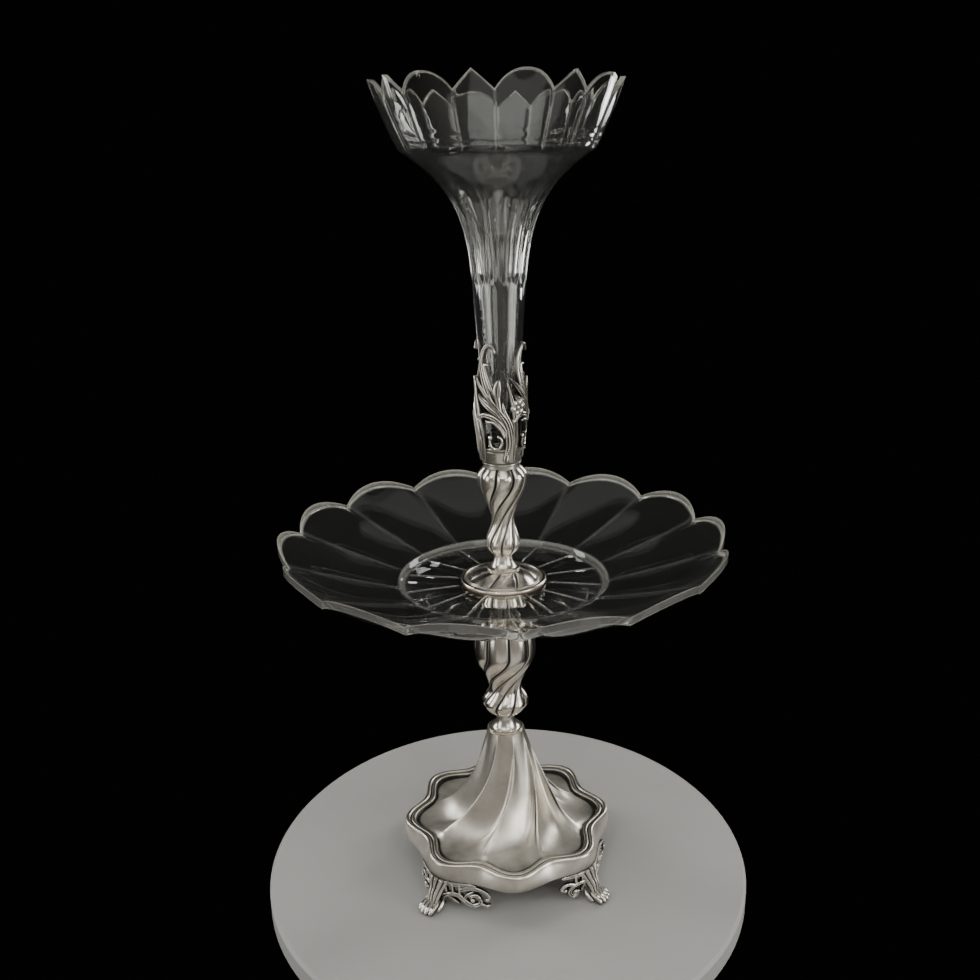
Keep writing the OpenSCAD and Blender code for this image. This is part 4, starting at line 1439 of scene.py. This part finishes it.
@dataclass
class LeafCalyx:
    """The cup of pierced leaf scrolls that holds the vase."""

    r: float = 15.5
    h: float = 80.0
    root_r: float = 11.56
    leaf_w: float = 2.6
    band_low: float = 2.0
    band_h: float = 11.5
    band_in: float = 10.7
    band_rows: int = 26
    sprays: int = 4
    vase_gap: float = 0.4
    curl_at: tuple[float, float] = (-19, 0.228)
    curl_size: tuple[float, float] = (16, 0.053)
    flower_at: tuple[float, float] = (36, 0.495)
    bead_r: float = 0.55
    bead_pitch: float = 1.3
    bead_lift: float = 1.5

    def skin_r(self, degrees: Array, z: Array) -> Array:
        """Radius of the cup's skin."""
        rise = np.clip((z - STACK.socket) / (self.h / 2), 0, 1)
        return mix(self.root_r, self.r, np.sin(np.pi / 2 * rise)) + 0 * degrees

    def depth(self, z: Array) -> Array:
        """How far the leaves reach in, staying clear of the vase."""
        room = self.skin_r(0 * z, z) - TRUMPET.r(z - STACK.vase) - self.vase_gap
        return np.clip(room, 0.4, 2.2)

    def leaf(self, skin: Skin, path: Path, relief: float, crest: Crest) -> None:
        """Add a leaf.

        Args:
            skin: The skin of the spray.
            path: Degrees, share of the cup's height and share of a main stem's half-width.
            relief: How far it stands out, as a share of that half-width.
            crest: Its cross-section.
        """
        lines = [(a, STACK.socket + share * self.h, w * self.leaf_w) for a, share, w in path]
        skin.frond(lines, self.skin_r, relief * self.leaf_w, self.depth, crest)

    def eye(self, skin: Skin, degrees: float, share: float, r: float) -> None:
        """Add a button at a scroll's heart.

        Args:
            skin: The skin of the spray.
            degrees: Its angle round the cup.
            share: Its height, as a share of the cup's.
            r: Its radius, as a share of a main stem's half-width.
        """
        z = STACK.socket + share * self.h
        skin.boss(self.skin_r(degrees, z), degrees, z, r * self.leaf_w, r * self.leaf_w * 0.8)

    def spray(self) -> Skin:
        """Make one spray of leaves and scrolls.

        Returns:
            Its skin.
        """
        skin = Skin()
        for relief, crest, path in SPRAY_LEAVES:
            self.leaf(skin, path, relief, crest)
        a = np.radians(np.arange(160, 455, 30))
        (turn, share), (wide, tall) = self.curl_at, self.curl_size
        curl = [turn + wide * np.cos(a), share + tall * np.sin(a), np.linspace(0.42, 0.3, len(a))]
        self.leaf(skin, np.stack(curl, -1), 0.5, Crest.ROUND)
        for degrees, share, r in SPRAY_EYES:
            self.eye(skin, degrees, share, r)
        return skin

    def flower(self) -> Skin:
        """Make a flower of six petals beside a spray.

        Returns:
            Its skin.
        """
        skin = Skin()
        turn, share = self.flower_at
        self.eye(skin, turn, share, 0.62)
        ring = 1.3 * self.leaf_w
        for petal in range(0, 360, 60):
            a = math.radians(petal + 12)
            across, up = ring * math.cos(a) / self.r, ring * math.sin(a) / self.h
            self.eye(skin, turn + math.degrees(across), share + up, 0.82)
        return skin

    def band(self, skin: Skin) -> None:
        """Add the chased band that the leaves grow from.

        Args:
            skin: The skin of the cup.
        """
        share = np.linspace(0, 1, self.band_rows)
        z = STACK.socket + self.band_low + self.band_h * share
        lines = -0.28 * (hill(share, 0.16, 0.03) + hill(share, 0.86, 0.03))
        edges = 0.2 * (hill(share, 0.06, 0.05) + hill(share, 0.96, 0.04))
        r = self.skin_r(0 * z, z) + (lines + edges)
        # Darker along the two incised lines: tarnish and painted shade.
        tarnish_and_shade = 0.05 + 0.8 * (hill(share, 0.16, 0.05) + hill(share, 0.86, 0.05))
        section = [*zip(r, z), (self.band_in, z[-1]), (self.band_in, z[0])]
        skin.lathe(section, np.concatenate([tarnish_and_shade, [0.8, 0.8]]))

    def build(self) -> None:
        """Make the cup and its beads."""
        angles = [360 * i / self.sprays + FRONT_ANGLE for i in range(self.sprays)]
        made = self.spray().copy_round(angles)
        made.join(self.flower().copy_round([FRONT_ANGLE, -FRONT_ANGLE]))
        self.band(made)
        made.piece("leaf_calyx_skin", CHASED_SILVER, Body.UPPER_STEM, "leaf_calyx", sharp=70)
        line = bead_line(SPRAY_BEADS, self.skin_r, self.bead_lift, STACK.socket, self.h)
        rows = [turned(line, angle) for angle in angles]
        BeadRow("calyx_beads", rows, self.bead_r, self.bead_pitch).build(CHASED_SILVER, Body.UPPER_STEM)


@dataclass
class GlassVase:
    """The trumpet vase: a plain neck, flutes where it flares, and a bowl of round and pointed petals."""

    h: float = 217.5
    rim_r: float = 72.0
    notch: float = 9.5
    wall: float = 3.0
    round_angle: float = 26.5
    turn: float = 8.0
    pairs: int = 8
    floor_h: float = 22.0
    flute_low: float = 110.0
    flute_top: float = 150.0
    flute_depth: float = 1.1
    crease_h: tuple[float, float] = (106.0, 162.0)
    petal_bulge: float = 1.1
    ring_h: float = 0.35
    lip_h: float = 0.35
    base_r: float = 7.7
    base_h: tuple[float, float, float] = (0.0, 0.5, 2.0)
    min_r: float = 1.0
    steps: int = 384
    outer_rows: int = 96
    inner_rows: int = 48
    bowl_rows: int = 34

    def petal(self, degrees: Array) -> tuple[Array, Array]:
        """Find where an angle lies on its petal.

        Args:
            degrees: Angles round the vase, from the middle of a round petal.

        Returns:
            Place across the petal from -1 to 1, and how high the rim rises there from 0 to 1.
        """
        pair = 360 / self.pairs
        d = (degrees + pair / 2) % pair - pair / 2
        half = self.round_angle / 2
        on_round = np.abs(d) <= half
        across = np.where(on_round, d / half, (pair / 2 - np.abs(d)) / (pair / 2 - half))
        rise = np.where(on_round, 1 - np.abs(across) ** 2.3, 1 - np.abs(across))
        return across, rise

    def angles(self) -> Array:
        """Share out the steps round the vase, with one on every cusp of the rim.

        Returns:
            The angle of each step.
        """
        per = self.steps // (2 * self.pairs)
        pair, half = 360 / self.pairs, self.round_angle / 2
        ends = ((-half, half), (half, pair - half))
        one = np.concatenate([np.linspace(*end, per, endpoint=False) for end in ends])
        return (one[None] + pair * np.arange(self.pairs)[:, None]).ravel()

    def shell(self, r: Array, a: Array, h: Array) -> Array:
        """Points at radii, angles from a round petal's middle and heights above the foot."""
        return polar(r, a + self.turn + FRONT_ANGLE, STACK.vase + h)

    def outer_r(self, h: Array, a: Array) -> Array:
        """Cut the flutes into the trumpet.

        Args:
            h: Heights above the foot, below the shoulder.
            a: Angles round the vase.

        Returns:
            Outer radius at each height and angle.
        """
        across, _ = self.petal(a)
        panel = (1 - np.abs(across)) ** 0.8
        tip = 1 - across**2
        low = np.clip((h - self.flute_low + 4 * tip) / 4, 0, 1)
        cut = low * np.clip((self.flute_top - h + 10 * tip) / 5, 0, 1)
        return TRUMPET.r(h) - self.flute_depth * cut * panel

    def bowl(self, share: Array, a: Array, inset: float) -> Array:
        """Lay out the bowl between the shoulder and the rim.

        Args:
            share: How far up each row lies, from 0 to 1.
            a: Angles round the vase.
            inset: How far the rows lie inside the outer surface, which has two raised rings.

        Returns:
            Points by row and angle.
        """
        across, rise = self.petal(a)
        shoulder, full = TRUMPET.shoulder_h, self.h - TRUMPET.shoulder_h
        h = shoulder + (full - self.notch * (1 - rise)) * share
        r = mix(TRUMPET.shoulder_r, self.rim_r, (h - shoulder) / full)
        swell = np.sin(np.pi * share) - self.petal_bulge * np.abs(across) ** 3 * (1 - share**6)
        rings = self.ring_h * (hill(share, 0.08, 0.035) + hill(share, 0.2, 0.035)) * (inset == 0)
        return self.shell(r + swell - inset + rings, a, h)

    def build(self) -> None:
        """Make the vase."""
        a = self.angles()[None]
        across, rise = self.petal(a)
        under, edge, body = self.base_h
        outer_h = mix(body, TRUMPET.shoulder_h, np.linspace(0, 1, self.outer_rows)[:, None])
        inner_h = mix(self.floor_h, TRUMPET.shoulder_h, np.linspace(1, 0, self.inner_rows)[:, None])
        up = np.linspace(0, 1, self.bowl_rows)[1:, None]
        foot = self.shell(np.array([[self.base_r], [TRUMPET.foot_r]]), a, np.array([[under], [edge]]))
        outside = self.shell(self.outer_r(outer_h, a), a, outer_h)
        inside = self.shell(np.maximum(TRUMPET.r(inner_h - body) - self.wall, self.min_r), a, inner_h)
        lip = self.bowl(np.array([[1.0]]), a, self.wall / 2)
        lip[..., 2] += self.lip_h * (1 - rise)
        bowl_out, bowl_in = self.bowl(up, a, 0.0), self.bowl(up[::-1], a, self.wall)
        rings = np.concatenate([foot, outside, bowl_out, lip, bowl_in, inside])
        rings[..., 2] = np.minimum(rings[..., 2], STACK.vase + self.h)
        first, last = len(foot) + len(outside), len(foot) + len(outside) + len(up)
        # Marks tint and frost the glass into painted highlight lines along the flute creases, the petal edges
        # and the lip.
        low, high = self.crease_h
        crease = np.abs(across) ** 14 * np.clip((outer_h - low) / 6, 0, 1)
        crease = crease * np.clip((high - outer_h) / 16, 0, 1)
        mark = np.zeros(rings.shape[:2])
        mark[len(foot):first] = 0.5 * crease
        mark[first:last] = 0.3 * np.abs(across) ** 30
        mark[last - 1:last + 2] = 0.45
        skin = Skin()
        skin.loft(rings, mark)
        made = skin.piece("glass_vase_skin", VASE_GLASS, Body.VASE, "glass_vase", sharp=75)
        made.visible_shadow = False


@dataclass
class GlassDish:
    """The dish: fourteen scooped petals round a stepped well with rays."""

    petals: int = 14
    per: int = 30
    rows: int = 44
    tip_r: float = 141.95
    notch_r: float = 135.8
    tip_h: float = 35.2
    notch_h: float = 26.8
    scoop: float = 3.2
    well_r: float = 68.0
    well_depth: float = 4.0
    wall: float = 4.6
    turn: float = -1.0
    ray_h: float = 0.8
    ray_w: float = 0.12
    hole_gap: float = 2.0

    def around(self) -> tuple[Array, Array]:
        """Angles of the steps and how far each is from a ridge."""
        j = np.arange(self.petals * self.per)
        return (360 * j / len(j) + self.turn + FRONT_ANGLE)[None], arch((j % self.per) / self.per)[None]

    def petal_rows(self, shares: Array, drop: float) -> Array:
        """Lay out rows of the petals.

        Args:
            shares: How far out each row lies, from 0 at the well to 1 at the edge.
            drop: How far the rows lie below the upper face.

        Returns:
            Points by row and step.
        """
        a, bulge = self.around()
        t = shares[:, None]
        edge = mix(self.notch_r, self.tip_r, bulge)
        lift = (self.tip_h - self.notch_h) * bulge * t**4 - self.scoop * bulge * np.sin(np.pi * t)
        z = STACK.floor + mix(self.well_depth, self.notch_h, t) + lift - drop
        return polar(mix(self.well_r, edge, t), a, z)

    def ring(self, r: float, z: float, ray: float = 0.0) -> Array:
        """A ring of the well, with rays under the ridges."""
        a, bulge = self.around()
        return polar(np.array([[r]]), a, z + ray * hill(bulge, 0.0, self.ray_w))

    def build(self) -> None:
        """Make the dish."""
        low, top, hole = STACK.dish, STACK.floor, BORE_R + self.hole_gap
        shares = np.linspace(0, 1, self.rows)
        under, over = self.petal_rows(shares, self.wall), self.petal_rows(shares[::-1], 0.0)
        bevel, edge = (under[-1:] * part + over[:1] * (1 - part) for part in (0.86, 0.12))
        step = [(67.3, top + 3.9), (66.6, top + 3.4), (65.4, top + 0.9), (64.6, top + 0.2), (63.4, top)]
        rays = [(r, top, self.ray_h) for r in (62.0, 46.0, 30.6)]
        seat = [(29.1, top), (hole, top), (hole, low), (34.0, low), (62.0, low)]
        rings = np.concatenate([under, bevel, edge, over] + [self.ring(*row) for row in step + rays + seat])
        _, bulge = self.around()
        rim, well = len(under), len(under) + 2 + len(over)
        # Marks tint and frost the glass into painted highlight lines along the petal ridges, the well's step
        # and rays, and the edges of the rim.
        mark = np.zeros(rings.shape[:2])
        mark[rim + 2:well] = 0.12 * hill(bulge, 0.0, self.ray_w)
        mark[well:well + 5] = np.array([0.25, 0.5, 0.1, 0.4, 0.1])[:, None]
        mark[well + 5:well + 8] = 0.45 * hill(bulge, 0.0, 0.1)
        mark[rim - 1:rim + 3] = np.array([0.75, 0.25, 0.25, 0.75])[:, None]
        skin = Skin()
        skin.loft(rings, mark, hoop=True)
        made = skin.piece("glass_dish_skin", DISH_GLASS, Body.STAND, "glass_dish", sharp=50)
        made.visible_shadow = False


@dataclass
class Fixings:
    """The construction nodes that are shown as they are, with their finishes."""

    brass: tuple[str, ...] = (
        "tie_rod", "rod_washer", "rod_nut", "rosette_retainer", "threaded_bush", "socket_screw",
    )
    cork: tuple[str, ...] = ("lower_cork_washer", "upper_cork_washer", "vase_pad")
    silver: tuple[str, ...] = ("vase_socket",)

    def build(self) -> None:
        """Dress the nodes."""
        kinds = ((self.brass, FIXING_BRASS), (self.cork, PAD_CORK), (self.silver, SMOOTH_SILVER))
        for names, finish in kinds:
            for name in names:
                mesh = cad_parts[name].data
                mesh.materials.clear()
                mesh.materials.append(finish.material())
                log.info("%s: kept in %s", name, finish.name)


@dataclass(frozen=True)
class Softbox:
    """A rectangular studio light, in metres and watts."""

    name: str
    place: tuple[float, float, float]
    aim: tuple[float, float, float]
    size: tuple[float, float]
    power: float

    def build(self) -> None:
        """Hang the light."""
        light = bpy.data.lights.new(self.name, "AREA")
        light.shape = "RECTANGLE"
        light.size, light.size_y = self.size
        light.energy = self.power
        hung = show(self.name, light)
        hung.location = self.place
        hung.rotation_euler = (Vector(self.aim) - Vector(self.place)).to_track_quat("-Z", "Y").to_euler()
        hung.visible_camera = False


@dataclass
class Studio:
    """Floor, lights and camera, in metres; the floor's sizes are in millimetres."""

    floor_r: float = 165.0
    floor_t: float = 14.0
    floor_bevel: float = 2.0
    floor_colour: Colour = rgb(0.42, 0.41, 0.39)
    floor_rough: float = 0.6
    room_colour: Colour = rgb(1.0, 0.95, 0.88)
    room_front: float = 0.2
    room_back: float = 0.0015
    azimuth: float = -4.5
    down: float = 17.5
    roll: float = -0.85
    distance: float = 0.6
    height: float = 0.4575
    sensor: float = 36.0
    lens: float = 36.70
    shift: float = -12.26 / 980
    near: float = 0.01
    lights: tuple[Softbox, ...] = (
        Softbox("overhead", (-0.2, -0.8, 1.35), (0, 0, 0.2), (1.6, 1.1), 7.0),
        Softbox("top", (0, 0.4, 1.45), (0, 0, 0.15), (1.2, 0.8), 0.7),
        Softbox("right", (1.0, -0.55, 0.4), (0, 0, 0.15), (0.5, 0.9), 6.5),
        Softbox("left", (-1.05, -0.4, 0.4), (0, 0, 0.15), (0.5, 0.9), 4.0),
        Softbox("front", (0.55, -1.35, 0.55), (0, 0, 0.2), (0.7, 0.5), 2.2),
        Softbox("front card", (0.2, -1.25, -0.6), (0, 0, 0.25), (2.6, 0.5), 1.4),
        Softbox("left rim", (-0.95, 0.45, 0.62), (0, 0, 0.42), (0.25, 0.9), 5.2),
        Softbox("right rim", (0.85, 0.6, 0.64), (0, 0, 0.42), (0.25, 0.9), 5.2),
        Softbox("left lamp", (-0.45, -0.95, 1.15), (0, 0, 0.3), (0.07, 0.07), 1.2),
        Softbox("right lamp", (0.4, -0.9, 1.0), (0, 0, 0.3), (0.05, 0.05), 0.8),
    )

    def floor(self) -> None:
        """Lay a pale round floor."""
        r, low, bevel, middle = self.floor_r, -self.floor_t, self.floor_bevel, 0.01
        skin = Skin()
        skin.lathe([(middle, 0.0), (r - bevel, 0.0), (r, -bevel), (r, low), (middle, low)], sides=128)
        made = show("floor", skin.mesh("floor"))
        stuff = bpy.data.materials.new("pale floor")
        graph = Graph.blank(stuff)
        paint = {"Base_Color": self.floor_colour, "Roughness": self.floor_rough}
        graph.node("ShaderNodeOutputMaterial", graph.node("ShaderNodeBsdfPrincipled", **paint).outputs[0])
        made.data.materials.append(stuff)

    def world(self) -> None:
        """Light the room softly from the front and leave it dark behind."""
        made = bpy.data.worlds.new("room")
        graph = Graph.blank(made)
        way = graph.node("ShaderNodeTexCoord").outputs["Generated"]
        back = graph.node("ShaderNodeSeparateXYZ", way).outputs[1]
        share = graph.math("POWER", graph.span(back, 0.0, 1.0, 0.1, -0.9), 1.5)
        strength = graph.math("MULTIPLY_ADD", share, self.room_front, self.room_back)
        sky = graph.node("ShaderNodeBackground", self.room_colour, strength)
        graph.node("ShaderNodeOutputWorld", sky.outputs[0])
        bpy.context.scene.world = made

    def camera(self) -> None:
        """Set up the camera at the photo's angle."""
        eye = bpy.data.cameras.new("camera")
        eye.sensor_width, eye.lens = self.sensor, self.lens
        eye.shift_x, eye.clip_start = self.shift, self.near
        made = show("camera", eye)
        turn, roll = math.radians(self.azimuth), Matrix.Rotation(math.radians(self.roll), 3, "Z")
        look = Euler((math.radians(90 - self.down), 0.0, turn)).to_matrix() @ roll
        made.rotation_euler = look.to_euler()
        made.location = (self.distance * math.sin(turn), -self.distance * math.cos(turn), self.height)
        bpy.context.scene.camera = made

    def build(self) -> None:
        """Set the stage."""
        self.floor()
        self.world()
        for light in self.lights:
            light.build()
        self.camera()


def main() -> None:
    """Build the epergne from the foot up, then the studio round it."""
    logging.basicConfig(level=logging.INFO, format="%(name)s: %(message)s")
    foot = Foot()
    assemblies = (
        foot, ScrollFeet(foot), Collars(), LOWER_BALUSTER, GlassDish(), Rosette(), UPPER_BALUSTER,
        LeafCalyx(), GlassVase(), Fixings(), Studio(),
    )
    for assembly in assemblies:
        assembly.build()


if __name__ == "__main__":
    main()
